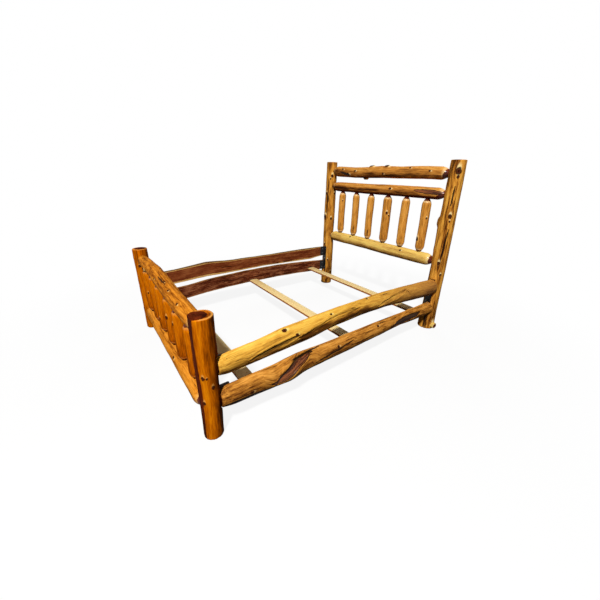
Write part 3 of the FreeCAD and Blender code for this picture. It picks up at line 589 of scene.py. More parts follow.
def cedar(name, tones, heart, collar, streaks=0.5, heart_edge=0.74, coarse=1.0, browner=None, shaded_rim=0.0):
    """Varnished cedar in one log's own colours.

    Streaks is how much of the sapwood is streaked, heart_edge is the share of the radius where the
    heartwood ends, and browner gives the places along the log, in millimetres, between which it
    turns to its deeper tones. The rim argument is how strongly a painted shade darkens a sawn face's
    upper edge.
    """
    def at_streaks(limit):
        return limit[0] + limit[1] * streaks

    material, tree, output = new_material(name)
    attribute = {
        key: add_node(tree, "Attribute", attribute_name=key).outputs["Vector" if key == "wood" else "Fac"]
        for key in ("wood",) + LAYERS
    }
    place = attribute["wood"]
    grain = grain_noises(tree, place, coarse)

    # the tone of the wood, from 0 for the palest to 1 for the darkest
    rings = growth_rings(tree, place, grain["patches"], coarse)
    total = add_node(tree, "Math", {0: rings, 1: RING_SHARE}, operation="MULTIPLY")
    for key, share in TONE_SHARES.items():
        total = add_node(tree, "Math", {0: grain[key], 1: share, 2: total}, operation="MULTIPLY_ADD")
    # stains, painted shade on the shaded sides and painted light on the lit sides shift the tone
    total = add_node(tree, "Math", {0: total, 1: attribute["stain"]}, operation="ADD")
    if browner:
        along = add_node(tree, "SeparateXYZ", {0: place}).outputs["Z"]
        turned = add_node(tree, "MapRange", {
            "Value": along, "From Min": browner[0] * MM, "From Max": browner[1] * MM})
        total = add_node(tree, "Math", {0: turned, 1: BROWNER_TONE, 2: total}, operation="MULTIPLY_ADD")
    tone = add_node(tree, "MapRange", {
        "Value": total, "From Min": at_streaks(TONE_FROM), "From Max": at_streaks(TONE_TO)})
    sapwood = add_node(tree, "ValToRGB", {0: tone}, [
        (position, linear(code)) for position, code in zip(TONE_STOPS, tones)])
    streaked = add_node(tree, "MapRange", {
        "Value": grain["streaks"], "From Min": at_streaks(STREAK_FROM), "From Max": at_streaks(STREAK_TO),
        "To Max": STREAK_MOST * streaks}, interpolation_type="SMOOTHSTEP")
    sapwood = add_node(tree, "Mix", {0: streaked, 1: sapwood, 2: linear(tones[3])}, data_type="RGBA")
    if browner:
        russet = add_node(tree, "Math", {0: turned, 1: BROWNER_SHARE}, operation="MULTIPLY")
        sapwood = add_node(tree, "Mix", {0: russet, 1: sapwood, 2: linear("B87A42")}, data_type="RGBA")

    # heartwood, with a ragged edge that follows the streaks, and fresh pale sapwood beside it
    core = add_node(tree, "ValToRGB", {0: tone}, [
        (position, linear(code)) for position, code in zip(HEART_STOPS, heart)])
    ragged = attribute["depth"]
    for key, share in (("streaks", HEART_RAGGED), ("patches", HEART_PATCHY)):
        ragged = add_node(tree, "Math", {0: grain[key], 1: share, 2: ragged}, operation="MULTIPLY_ADD")
    in_heart = add_node(tree, "MapRange", {
        "Value": ragged, "From Min": heart_edge + HEART_FROM, "From Max": heart_edge + HEART_TO})
    colour = add_node(tree, "Mix", {0: in_heart, 1: sapwood, 2: core}, data_type="RGBA")
    pared = add_node(tree, "MapRange", {
        "Value": attribute["pared"], "From Min": FRESH_FROM, "From Max": FRESH_TO, "To Max": FRESH_MOST})
    beside_heart = add_node(tree, "Math", {0: 1.0, 1: in_heart}, operation="SUBTRACT")
    fresh = add_node(tree, "Math", {0: pared, 1: beside_heart}, operation="MULTIPLY")
    colour = add_node(tree, "Mix", {0: fresh, 1: colour, 2: linear(collar)}, data_type="RGBA")

    # painted shade along the upper edge of a sawn face, where the round side turns away from the light
    if shaded_rim:
        upper = add_node(tree, "SeparateXYZ", {0: place}).outputs["X"]
        upper = add_node(tree, "MapRange", {"Value": upper, "From Max": RIM_RISE * MM, "To Max": shaded_rim})
        rim = add_node(tree, "MapRange", {
            "Value": attribute["depth"], "From Min": RIM_FROM, "From Max": RIM_TO})
        rim = add_node(tree, "Math", {0: rim, 1: upper}, operation="MULTIPLY")
        colour = add_node(tree, "Mix", {0: rim, 1: colour, 2: linear("4A260E")}, data_type="RGBA")

    # knots and hollows, from the pale collar to the black middle
    for layer, edge_grain, raggedness, outer, inner, most, code in MARKS:
        uneven = add_node(tree, "Math", {
            0: grain[edge_grain], 1: raggedness, 2: 1 - raggedness / 2}, operation="MULTIPLY_ADD")
        edge = add_node(tree, "Math", {0: uneven, 1: attribute[layer]}, operation="MULTIPLY")
        mask = add_node(tree, "MapRange", {
            "Value": edge, "From Min": outer, "From Max": inner, "To Max": most},
            interpolation_type="SMOOTHSTEP")
        mark = linear(collar if code == "collar" else code)
        colour = add_node(tree, "Mix", {0: mask, 1: colour, 2: mark}, data_type="RGBA")

    # drying checks: a few hairlines that run with the grain
    centred = add_node(tree, "Math", {0: grain["drift"], 1: 0.5}, operation="SUBTRACT")
    off_line = add_node(tree, "Math", {0: centred}, operation="ABSOLUTE")
    hairline = add_node(tree, "MapRange", {"Value": off_line, "From Min": CHECK_FROM, "From Max": CHECK_TO})
    opened = add_node(tree, "MapRange", {
        "Value": grain["patches"], "From Min": CHECKED_FROM, "From Max": CHECKED_TO})
    checks = add_node(tree, "Math", {0: hairline, 1: opened}, operation="MULTIPLY")
    colour = add_node(tree, "Mix", {0: checks, 1: colour, 2: linear("2C1206")}, data_type="RGBA")

    # knife marks and fibres in relief, and saw marks across the cut faces
    relief = add_node(tree, "Math", {0: grain["fibres"], 1: FIBRE_RELIEF}, operation="MULTIPLY")
    reliefs = [
        (grain["streaks"], STREAK_RELIEF), (grain["saw_marks"], attribute["sawn"]), (checks, CHECK_RELIEF),
    ]
    for height, share in reliefs:
        relief = add_node(tree, "Math", {0: height, 1: share, 2: relief}, operation="MULTIPLY_ADD")
    bump = add_node(tree, "Bump", {"Strength": 0.5, "Distance": RELIEF_HEIGHT * MM, "Height": relief})

    # the coat shines only where the wood is pared or scarred: elsewhere it would mirror the white sky
    # and turn the logs' edges grey
    glossy = add_node(tree, "Math", {0: attribute["bark_and_shade"], 1: SCAR_GLOSS}, operation="MULTIPLY")
    glossy = add_node(tree, "Math", {0: glossy, 1: attribute["pared"]}, operation="MAXIMUM")
    gloss = add_node(tree, "MapRange", {
        "Value": glossy, "From Min": GLOSS_FROM, "From Max": GLOSS_TO,
        "To Min": LEAST_GLOSS, "To Max": MOST_GLOSS})
    shader = add_node(tree, "BsdfPrincipled", {
        "Base Color": colour,
        "Roughness": 0.42,
        "IOR": 1.5,
        "Specular IOR Level": 0.0,
        "Coat Weight": gloss,
        "Coat Roughness": 0.2,
        "Normal": bump,
    })
    tree.links.new(shader.outputs[0], output.inputs["Surface"])
    return material


RED_HEART = ("7E3216", "5E220E", "38120A")
DARK_HEART = ("6E2A0E", "501C08", "300E04")
post_cedar = cedar("head post cedar, peeled and varnished", ("FCBC50", "DA9234", "8A4E18", "3C1A08"),
                   RED_HEART, "FFE29C", streaks=0.85, heart_edge=0.78, coarse=1.5)
brown_cedar = cedar("head rail cedar, peeled and varnished", ("ECAE56", "C88234", "8A5220", "4A260E"),
                    RED_HEART, "FFDA98", streaks=0.6, coarse=1.5)
straw_cedar = cedar("pale head rail cedar, peeled and varnished", ("FCDC74", "E8BC60", "BA863E", "724818"),
                    RED_HEART, "F8E0A0", streaks=0.35, coarse=1.5)
spindle_cedar = cedar("head spindle cedar, peeled and varnished", ("FABE60", "DE963C", "A06424", "582A0E"),
                      RED_HEART, "FFE0A4", streaks=0.4, coarse=1.3)
orange_cedar = cedar("footboard cedar, peeled and varnished", ("F08C08", "C66402", "803A00", "3A1600"),
                     DARK_HEART, "EEA64C", streaks=0.3, heart_edge=0.80)
amber_cedar = cedar("footboard rail cedar, peeled and varnished", ("FAA83A", "D88422", "8C480C", "4A2004"),
                    RED_HEART, "F0BC68", streaks=0.44)
golden_cedar = cedar("upper rail cedar, peeled and varnished", ("F6CC5A", "DEA23C", "9C6822", "54300E"),
                     RED_HEART, "FAE088", streaks=0.25, browner=(1000, 1800))
russet_cedar = cedar("lower rail cedar, peeled and varnished", ("E8A44A", "BE7C2E", "7C4618", "3C1C08"),
                     RED_HEART, "E8B870", streaks=0.7)
# the far upper rail's sawn face has a painted shade along its upper edge
red_cedar = cedar("far upper rail cedar, sawn and varnished", ("F0C680", "DAA85C", "A87040", "6A3C1C"),
                  ("A86438", "803C1C", "56200C"), "D0A468", streaks=0.6, heart_edge=0.78, shaded_rim=0.8)
dark_cedar = cedar("far lower rail cedar, sawn and varnished", ("D89C5C", "A87038", "66381A", "401C0A"),
                   ("B07048", "6E3018", "2E0C06"), "C89A5C", streaks=0.9, heart_edge=0.88)
print("cedars:", len([material for material in bpy.data.materials if "cedar" in material.name]))

# %% [markdown]
# The four posts stand on sawn feet. Each has its own girth and sway, hewn seats for the brackets,
# and the knots that the photograph shows. The near foot post also has a long hewn flat on its
# outer face, which lays the dark heartwood bare.

# %% Posts
POST = {
    "head": {"height": 1538.0, "radius": 67.0, "seat": 56.0},
    "foot": {"height": 752.0, "radius": 60.0, "seat": 44.0},
}
SEAT_FACING = {"head": -90, "foot": 90}
HEWN_FLAT = (-90, 63.6, 52.6, 0, POST["foot"]["height"])
BRACKET_BASE = {-1: 207.0, 1: 192.0}
BRACKET_HEIGHT = 305.0
SEAT_ABOVE, SEAT_BELOW = 14.0, 42.0
POST_SWAY = 8.0

# every log is a little slimmer than the CAD model's, so that its bumps stay near that surface
INSIDE = 0.985

post_shares = {
    ("head", -1): [
        (0.00, 1.06, 0.0, 0.0), (0.12, 1.04, 0.3, 0.3), (0.30, 1.02, 0.6, 0.0), (0.46, 0.98, 0.1, -0.3),
        (0.60, 1.02, -0.3, 0.0), (0.78, 0.97, 0.2, 0.2), (1.00, 0.94, 0.0, 0.0),
    ],
    ("head", 1): [
        (0.00, 1.14, -0.9, -0.3), (0.07, 1.10, -0.6, -0.2), (0.20, 1.04, 0.0, 0.0), (0.42, 1.00, 0.5, 0.3),
        (0.64, 1.03, 0.0, 0.0), (0.74, 0.98, 0.3, -0.2), (1.00, 0.93, 0.0, 0.0),
    ],
    ("foot", -1): [
        (0.00, 0.95, 0.0, 0.0), (0.30, 0.95, 0.3, 0.2), (0.62, 0.98, 0.2, 0.1), (1.00, 0.98, 0.0, 0.0),
    ],
    ("foot", 1): [
        (0.00, 0.94, 0.0, 0.0), (0.28, 0.96, -0.2, 0.3), (0.62, 1.01, 0.0, 0.2), (1.00, 1.06, 0.0, 0.0),
    ],
}
post_knots = {
    ("head", 1): [
        (1452, -52, 19, 3), (1409, -50, 10, 2), (1090, -50, 13, 3), (1048, -47, 7, 1), (671, -66, 12, 3),
        (559, -35, 9, 2), (1030, 180, 24, 14), (782, 190, 12, 4), (330, 95, 13, 3), (900, 75, 11, 3),
        # the swelling round the root stub; its pale collar paints the highlight above the stub
        (41, -10, 20, 7),
    ],
    ("head", -1): [
        (1382, -35, 13, 3), (1350, -50, 7, 1), (878, -23, 11, 4), (899, -90, 17, 9), (1180, -95, 11, 5),
        (1180, 0, 10, 5), (545, -87, 9, 2), (336, -40, 8, 2), (172, 0, 7, 1), (700, 120, 12, 3),
    ],
    ("foot", 1): [
        (422, -41, 8, 2), (355, 4, 8, 2), (260, -50, 8, 2), (419, -22, 5, 1), (560, 90, 10, 2),
        (120, 150, 9, 2),
    ],
    ("foot", -1): [(610, -30, 9, 2), (380, 60, 9, 2), (200, -80, 8, 2)],
}
# the first scar on the near head post is the crease at its root flare, and its darkness is painted shade
post_scars = {
    ("head", 1): [
        (0, -77, 190, -84, 13, 9, 0.3), (1180, -62, 1330, -55, 9, 2, 0.35), (700, -58, 980, -40, 8, 2, 0.3),
    ],
    ("head", -1): [(1085, -60, 1180, -75, 9, 2, 0.3)],
    ("foot", 1): [],
    ("foot", -1): [],
}
# On the foot posts, and in the wide rows of the head posts, a row paints the shade on the side turned away
# from the light, and a row below 0 paints the highlight on the lit side. The narrow rows on the head posts
# are dark streaks in the wood.
post_stains_and_shading = {
    ("head", 1): [
        (0, 1538, 30, 30, 0.03), (1150, 1420, -45, 7, 0.09), (620, 1020, -62, 8, 0.06),
        (120, 560, -38, 6, 0.06), (500, 900, -30, 7, 0.06), (1100, 1538, -75, 10, 0.04),
    ],
    ("head", -1): [(0, 1538, 20, 35, 0.03), (850, 1538, -70, 12, 0.04), (200, 800, -40, 10, 0.03)],
    ("foot", 1): [(0, 752, 14, 20, 0.08), (0, 752, 58, 36, 0.12), (0, 752, -36, 16, -0.05)],
    ("foot", -1): [(0, 752, 20, 40, 0.06)],
}
post_piths = {
    ("head", 1): (0.10, -0.12), ("head", -1): (0.05, 0.05),
    ("foot", 1): (-0.04, -0.29), ("foot", -1): (-0.05, 0.10),
}

for (end, side), shares in post_shares.items():
    sizes = POST[end]
    low = BRACKET_BASE[side] - SEAT_BELOW
    high = BRACKET_BASE[side] + BRACKET_HEIGHT + SEAT_ABOVE
    flats = [(SEAT_FACING[end], sizes["seat"], sizes["seat"], low, high)]
    if (end, side) == ("foot", 1):
        flats.append(HEWN_FLAT)
    make_log(
        f"{end}_post_{'left' if side < 0 else 'right'}",
        STANDING,
        post_centre(side, end),
        [
            (share * sizes["height"], girth * sizes["radius"] * INSIDE, aside * POST_SWAY, ahead * POST_SWAY)
            for share, girth, aside, ahead in shares
        ],
        post_cedar if end == "head" else orange_cedar,
        knots=post_knots[end, side],
        scars=post_scars[end, side],
        stains=post_stains_and_shading[end, side],
        flats=flats,
        pith=post_piths[end, side],
    )
print("posts:", len(finished))

# %% [markdown]
# A branch once grew out of the foot of the near head post. Its sawn stub is a short log of its
# own, in paler wood as in the photograph, and set into the post as if it grew there.

# %% Root stub
STUB_TURN = math.radians(-10)
STUB_HEIGHT = 41.0
stub_out = Vector((math.cos(STUB_TURN), math.sin(STUB_TURN), 0))
stub_side = Vector((-math.sin(STUB_TURN), math.cos(STUB_TURN), 0))
make_log(
    "root_stub",
    (stub_side, Z, stub_out),
    post_centre(1, "head") + Vector((0, 0, STUB_HEIGHT * MM)),
    [(0, 36, 0, 0), (60, 32, 0, 0), (80, 28, 0, 0), (94.8, 27.3, 0, 0)],
    straw_cedar,
    segments=40,
    step=5,
    rounding=5.0,
    pith=(0.1, 0.0),
)

# %% [markdown]
# The cross rails end like pencils: the log tapers to a round tenon that runs into a bored
# mortise. The taper swells out to the log, because a draw knife takes more wood near the tenon,
# and it cuts through the sapwood, so its tip is dark red.

# %% Cross rails
RAIL_END = {"tenon_length": 54.0, "tenon_radius": 26.0, "taper": 68.0, "shoulder": 2.0, "swell": 1.75}
TIP_ROUNDING = 1.5
TAPER_MARGIN = 4.0
RAIL_BOW = 22.0
JOINT_GAP = 0.3

rail_shares = {
    "head_top_rail": [
        (0.00, 0.99, 0.0), (0.20, 0.97, -0.4), (0.38, 1.01, -0.2), (0.50, 1.05, 0.1), (0.68, 0.99, 0.0),
        (0.86, 0.99, 0.2), (1.00, 0.97, 0.0),
    ],
    "head_middle_rail": [(0.00, 0.99, 0.0), (0.35, 1.01, -0.1), (0.65, 1.00, 0.1), (1.00, 0.98, 0.0)],
    "head_bottom_rail": [(0.00, 1.01, 0.0), (0.40, 1.00, 0.1), (0.70, 1.00, -0.1), (1.00, 0.97, 0.0)],
    "foot_top_rail": [
        (0.00, 0.90, 0.0), (0.20, 0.93, 0.7), (0.34, 0.97, 1.1), (0.50, 1.00, 0.5), (0.70, 1.00, -0.1),
        (0.88, 0.98, -0.2), (1.00, 0.95, 0.0),
    ],
    "foot_bottom_rail": [(0.00, 0.95, 0.0), (0.35, 0.99, 0.2), (0.70, 1.01, 0.1), (1.00, 1.00, 0.0)],
}
rail_sizes = {
    "head_top_rail": (1434.0, 57.0), "head_middle_rail": (1265.0, 53.0), "head_bottom_rail": (667.0, 60.0),
    "foot_top_rail": (670.0, 52.0), "foot_bottom_rail": (186.0, 61.0),
}
rail_knots = {
    "head_top_rail": [
        (560, 180, 14, 17), (646, 19, 17, 12), (845, 26, 15, 10), (1120, 46, 8, 2), (1330, 74, 7, 2),
        (333, 111, 13, 4), (436, 72, 9, 3), (824, 107, 8, 2), (240, 60, 9, 2), (980, 250, 10, 3),
    ],
    "head_middle_rail": [(929, 71, 10, 3), (300, 280, 10, 2)],
    "head_bottom_rail": [(432, 43, 8, 1), (1147, 53, 8, 1), (700, 250, 10, 2)],
    "foot_top_rail": [
        (714, 113, 7, 2), (1038, 29, 7, 1), (751, 61, 6, 1), (641, 335, 6, 1), (400, 100, 15, 9),
        (900, 15, 6, 1), (1250, 40, 7, 2),
    ],
    "foot_bottom_rail": [(420, 130, 8, 2), (1000, 60, 9, 2)],
}
rail_scars = {
    "head_top_rail": [(200, 95, 345, 118, 16, 3, 0.5), (250, 150, 900, 160, 14, 1, 0.25)],
    "head_middle_rail": [(1205, 70, 1500, 84, 21, 1.5, 1.0), (120, 98, 640, 104, 7, 1.5, 0.18)],
    "head_bottom_rail": [],
    "foot_top_rail": [(760, 30, 930, 22, 5, 1, 0.3)],
    "foot_bottom_rail": [],
}
# The wide rows at 115 to 120 degrees paint the shade on the head rails' undersides, and the row below 0
# paints a highlight along the top rail's upper side.
rail_stains_and_shading = {
    "head_top_rail": [(0, 1545, 120, 30, 0.10), (0, 1545, 15, 20, -0.03), (0, 420, 85, 20, 0.05)],
    "head_middle_rail": [(0, 1545, 115, 30, 0.03), (0, 720, 96, 17, 0.16), (900, 1200, 100, 16, 0.07)],
    "head_bottom_rail": [(0, 1545, 120, 30, 0.10)],
    "foot_top_rail": [(0, 1545, 60, 60, 0.05), (0, 1545, 290, 50, 0.04)],
    "foot_bottom_rail": [(0, 1545, 300, 60, 0.02)],
}
rail_piths = {
    "head_top_rail": (-0.12, 0.08), "head_middle_rail": (-0.24, 0.16), "head_bottom_rail": (0.0, 0.0),
    "foot_top_rail": (-0.05, 0.05), "foot_bottom_rail": (0.0, 0.05),
}
rail_finishes = {
    "head_top_rail": brown_cedar, "head_middle_rail": brown_cedar, "head_bottom_rail": straw_cedar,
    "foot_top_rail": amber_cedar, "foot_bottom_rail": amber_cedar,
}
rail_spans = {}


def share_at(shares, along, column):
    """One column of a table at a share of the way along it, on the straight line between two rows."""
    return float(np.interp(along, [row[0] for row in shares], [row[column] for row in shares]))


def rail_tip(end, side, height):
    """How far a tenon's tip is from its post's centre, when its shoulder meets the post's surface."""
    along = height / POST[end]["height"]
    shares = post_shares[end, side]
    radius = POST[end]["radius"] * share_at(shares, along, 1)
    lean = POST_SWAY * share_at(shares, along, 2) * -side
    return radius + lean + JOINT_GAP - RAIL_END["tenon_length"]


for rail, shares in rail_shares.items():
    end = rail.split("_")[0]
    height, radius = rail_sizes[rail]
    tips = {side: rail_tip(end, side, height) for side in (-1, 1)}
    length = BED_WIDTH - tips[-1] - tips[1]
    start = RAIL_END["tenon_length"] + RAIL_END["taper"] + TAPER_MARGIN
    barrel = length - start * 2
    rail_spans[rail] = (tips[-1], start, barrel, height, radius)
    rows = [(0, shares[0][1] * radius * INSIDE, 0, 0)]
    rows += [
        (start + barrel * share, girth * radius * INSIDE, rise * RAIL_BOW, 0) for share, girth, rise in shares
    ]
    rows.append((length, shares[-1][1] * radius * INSIDE, 0, 0))
    origin = post_centre(-1, end) + Vector((tips[-1] * MM, 0, height * MM))
    knots = [(place - tips[-1], angle, size, rise) for place, angle, size, rise in rail_knots[rail]]
    make_log(
        rail,
        ACROSS,
        origin,
        rows,
        rail_finishes[rail],
        knots=knots,
        scars=rail_scars[rail],
        stains=rail_stains_and_shading[rail],
        ends=RAIL_END,
        rounding=TIP_ROUNDING,
        pith=rail_piths[rail],
    )
print("rails so far:", len(rail_spans))

# %% [markdown]
# Six spindles fill the headboard and six the footboard. They are thinner poles with the same
# pencilled ends, each cut to the distance between its two rails, and each a little different.

# %% Spindles
SPINDLE_COUNT = 6
SPINDLE_END = {"tenon_length": 30.0, "tenon_radius": 19.0, "taper": 54.0, "shoulder": 1.5, "swell": 1.9}
SPINDLE_BOW = 5.0
ALL_ROUND = 400
spindle_shares = [(0.00, 0.99, 0.0, 0.0), (0.45, 1.00, 0.5, 0.3), (1.00, 0.99, 0.0, 0.0)]
spindle_girths = {
    "head": (41.5, [0.98, 0.95, 0.94, 1.09, 1.01, 1.03]),
    "foot": (42.0, [1.00, 0.96, 1.03, 1.00, 1.04, 0.98]),
}
spindle_rails = {
    "head": ("head_bottom_rail", "head_middle_rail"),
    "foot": ("foot_bottom_rail", "foot_top_rail"),
}
spindle_tones = {"head_spindle_4": 0.04, "head_spindle_6": 0.03}
spindle_knots = {
    "head_spindle_1": [(415, -40, 6, 1)],
    "head_spindle_2": [(180, 30, 6, 1)],
    "head_spindle_3": [(300, 100, 7, 2)],
    "head_spindle_4": [(345, -49, 10, 3), (320, -20, 6, 3)],
    "head_spindle_5": [(250, 160, 7, 2)],
    "head_spindle_6": [(349, -35, 7, 2), (150, -114, 13, 6)],
    "foot_spindle_1": [(210, -40, 6, 1)],
    "foot_spindle_2": [(260, 60, 7, 2)],
    "foot_spindle_3": [(150, -70, 7, 2)],
    "foot_spindle_4": [(255, -60, 9, 5)],
    "foot_spindle_5": [(300, -80, 7, 2)],
    "foot_spindle_6": [(180, 20, 7, 2)],
}


def rail_edge(rail, across, direction):
    """The height of a rail's upper or lower edge where a spindle meets it."""
    tip, start, barrel, height, radius = rail_spans[rail]
    share = (BED_WIDTH / 2 + BED_WIDTH * across - tip - start) / barrel
    rise = RAIL_BOW * share_at(rail_shares[rail], share, 2)
    return height + rise + radius * share_at(rail_shares[rail], share, 1) * direction


for end in ("head", "foot"):
    radius, girths = spindle_girths[end]
    lower, upper = spindle_rails[end]
    for number in range(SPINDLE_COUNT):
        across = (number + 1) / (SPINDLE_COUNT + 1) - 0.5
        floor = rail_edge(lower, across, 1)
        ceiling = rail_edge(upper, across, -1)
        length = ceiling - floor + SPINDLE_END["tenon_length"] * 2 - JOINT_GAP * 2
        lean = 1 if number % 2 else -1
        rows = [
            (length * share, girth * radius * girths[number] * INSIDE, aside * SPINDLE_BOW * lean,
             ahead * SPINDLE_BOW * lean)
            for share, girth, aside, ahead in spindle_shares
        ]
        origin = post_centre(-1, end) + Vector((
            BED_WIDTH * (0.5 + across) * MM, 0, (floor + JOINT_GAP - SPINDLE_END["tenon_length"]) * MM))
        name = f"{end}_spindle_{number + 1}"
        make_log(
            name,
            STANDING,
            origin,
            rows,
            orange_cedar if end == "foot" else spindle_cedar,
            segments=48,
            step=6,
            knots=spindle_knots[name],
            stains=[(0, length, 0, ALL_ROUND, spindle_tones.get(name, 0.0))],
            ends=SPINDLE_END,
            rounding=TIP_ROUNDING,
            swell=1.2,
            lump=0.5,
            ridge=1.0,
        )
print("logs so far:", len(finished))

# %% [markdown]
# The side rails are logs sawn down the middle. Their flat faces look in at the mattress and show
# the red heartwood between two pale edges of sapwood, and their round sides look out.

# %% Half-log side rails
SIDE_RADIUS = 66.0
SIDE_RISE = 50.0
BRACKET_FLANGE = 5.0
side_rail_shares = {
    ("left", "upper"): [
        (0.000, 0.92, -0.06), (0.020, 1.06, -0.04), (0.115, 1.07, 0.12), (0.190, 1.12, 0.36),
        (0.245, 1.17, 0.52), (0.290, 1.14, 0.44), (0.340, 1.06, 0.32), (0.570, 0.96, 0.32),
        (0.835, 1.11, 0.14), (0.895, 1.10, 0.08), (0.955, 0.97, 0.22), (1.000, 0.92, 0.24),
    ],
    ("left", "lower"): [
        (0.000, 0.90, -0.04), (0.020, 1.00, -0.02), (0.155, 1.01, 0.12), (0.235, 1.06, 0.46),
        (0.320, 1.07, 0.66), (0.450, 1.10, 0.80), (0.655, 1.12, 0.76), (0.770, 1.09, 0.56),
        (0.890, 1.07, 0.22), (0.960, 0.99, 0.08), (1.000, 0.93, 0.04),
    ],
    ("right", "upper"): [
        (0.000, 0.78, 0.00), (0.022, 0.95, 0.02), (0.115, 0.97, 0.20), (0.197, 1.08, 0.52),
        (0.279, 1.11, 0.64), (0.394, 0.98, 1.00), (0.524, 0.94, 1.06), (0.654, 1.00, 1.00),
        (0.788, 1.10, 0.60), (0.909, 1.16, 0.22), (0.985, 1.15, 0.06), (1.000, 1.06, 0.04),
    ],
    ("right", "lower"): [
        (0.000, 0.86, 0.08), (0.025, 1.04, 0.10), (0.100, 1.09, 0.08), (0.170, 1.17, 0.00),
        (0.216, 1.30, 0.04), (0.265, 1.14, 0.30), (0.370, 1.06, 0.20), (0.640, 0.95, 0.20),
        (0.770, 0.84, 0.20), (0.880, 0.92, -0.04), (1.000, 0.97, -0.10),
    ],
}
side_rail_heights = {
    ("left", "upper"): 440.0, ("left", "lower"): 262.0, ("right", "upper"): 436.0, ("right", "lower"): 222.0,
}
side_rail_knots = {
    ("right", "upper"): [(463, 24, 11, 5), (825, 37, 7, 1), (531, 66, 7, 3), (1202, 15, 6, 1)],
    ("right", "lower"): [(217, 92, 8, 2), (900, 60, 8, 2), (1350, 40, 8, 2)],
    ("left", "upper"): [(900, 250, 9, 2), (1500, 300, 9, 2)],
    ("left", "lower"): [(600, 250, 9, 2), (1300, 280, 10, 2)],
}
# the near upper rail's scars are shallow hollows whose dark marks are painted shade; the lower rail's deep
# cleft holds ingrown bark with a painted shadow on one wall
side_rail_scars = {
    ("right", "upper"): [
        (215, 97, 545, 76, 16, 11, 0.18), (550, 88, 1080, 68, 24, 9, 0.04), (1310, 96, 1660, 40, 20, 9, 0.08),
    ],
    ("right", "lower"): [
        (380, 96, 650, 26, 38, 15, 1.0), (520, 28, 760, 8, 8, 3, 0.5), (1560, 88, 1920, 62, 28, 10, 0.55),
        (60, 112, 330, 118, 14, 3, 0.3), (680, 96, 1050, 60, 9, 3, 0.25),
    ],
    ("left", "upper"): [],
    ("left", "lower"): [],
}
# On the near rails, the rows at 90 to 120 degrees paint the shade on the lower side and in the hollows. The
# short row at the lower rail's foot end paints the shade beside the post, and the row below 0 paints a
# highlight along the upper rail's top.
side_rail_stains_and_shading = {
    ("right", "upper"): [
        (0, 520, 108, 20, 0.12), (560, 1080, 92, 22, 0.20), (1080, 2090, 112, 26, 0.10),
        (0, 900, 15, 25, -0.02), (1900, 2090, 60, 60, 0.06),
    ],
    ("right", "lower"): [(0, 2090, 120, 30, 0.04), (0, 60, 60, 90, 0.05), (1500, 1900, 95, 20, 0.06)],
    ("left", "upper"): [],
    ("left", "lower"): [],
}
side_rail_finishes = {
    ("right", "upper"): golden_cedar, ("right", "lower"): russet_cedar,
    ("left", "upper"): red_cedar, ("left", "lower"): dark_cedar,
}
foot_clear = POST["foot"]["seat"] + BRACKET_FLANGE + JOINT_GAP
head_clear = POST["head"]["seat"] + BRACKET_FLANGE + JOINT_GAP
side_rail_length = BED_LENGTH - foot_clear - head_clear
for (side, level), shares in side_rail_shares.items():
    outward = -1 if side == "left" else 1
    height = side_rail_heights[side, level]
    rows = [
        (share * side_rail_length, girth * SIDE_RADIUS * INSIDE, lift * SIDE_RISE, 0)
        for share, girth, lift in shares
    ]
    origin = post_centre(outward, "foot") + Vector((0, foot_clear * MM, height * MM))
    knots = [
        (place - foot_clear, angle, size, rise)
        for place, angle, size, rise in side_rail_knots[side, level]
    ]
    scars = [
        (start - foot_clear, angle, stop - foot_clear, *others)
        for start, angle, stop, *others in side_rail_scars[side, level]
    ]
    make_log(
        f"side_rail_{level}_{side}",
        ALONG,
        origin,
        rows,
        side_rail_finishes[side, level],
        slot="sawn_half_log",
        segments=72 if side == "right" else 48,
        step=4.5 if side == "right" else 7.0,
        knots=knots,
        scars=scars,
        stains=side_rail_stains_and_shading[side, level],
        half_from=0.0 if outward > 0 else math.pi,
        rounding=5.0,
    )
print("logs:", len(finished), "rail length:", round(side_rail_length, 1))

# %% [markdown]
# The slats are plain sawn pine: pale, dry and without varnish, darker on the sawn edges. A
# board's grain runs along it, so the pattern is squeezed along X.

# %% Bare sawn pine
PINE_SQUEEZE = 0.035
PINE_PATCH, PINE_FIBRE, PINE_BAND, PINE_RELIEF = 40.0, 2.5, 16.0, 0.6


def pine(name, pale, deep, line):
    """Sawn pine with grain lines along the board, about 5 mm apart."""
    material, tree, output = new_material(name)
    place = add_node(tree, "TexCoord").outputs["Object"]
    along = add_node(tree, "Mapping", {"Vector": place, "Scale": (PINE_SQUEEZE, 1.0, 1.0)})
    slow = add_node(tree, "TexNoise", {"Vector": along, "Scale": 1 / (PINE_PATCH * MM), "Detail": 2.0})
    fine = add_node(tree, "TexNoise", {
        "Vector": along, "Scale": 1 / (PINE_FIBRE * MM), "Detail": 4.0, "Roughness": 0.7})
    wave = add_node(tree, "TexWave", {
        "Vector": along, "Scale": 1 / (PINE_BAND * MM), "Distortion": 7.0, "Detail": 2.0,
        "Detail Scale": 0.6}, bands_direction="Y")
    base = add_node(tree, "Mix", {0: slow, 1: linear(pale), 2: linear(deep)}, data_type="RGBA")
    lines = add_node(tree, "Math", {0: wave.outputs["Fac"], 1: 0.5}, operation="MULTIPLY")
    lined = add_node(tree, "Mix", {0: lines, 1: base, 2: linear(line)}, data_type="RGBA")
    bump = add_node(tree, "Bump", {"Strength": 0.3, "Distance": PINE_RELIEF * MM, "Height": fine})
    shader = add_node(tree, "BsdfPrincipled", {
        "Base Color": lined, "Roughness": 0.62, "IOR": 1.5, "Specular IOR Level": 0.2, "Normal": bump})
    tree.links.new(shader.outputs[0], output.inputs["Surface"])
    return material


bare_pine = pine("sawn pine, bare", "FFF4B8", "FCD686", "CE8E44")
# the sawn edges are darker than the faces
pine_edge = pine("sawn pine edge, darker", "C87C34", "A05A20", "6E3A12")

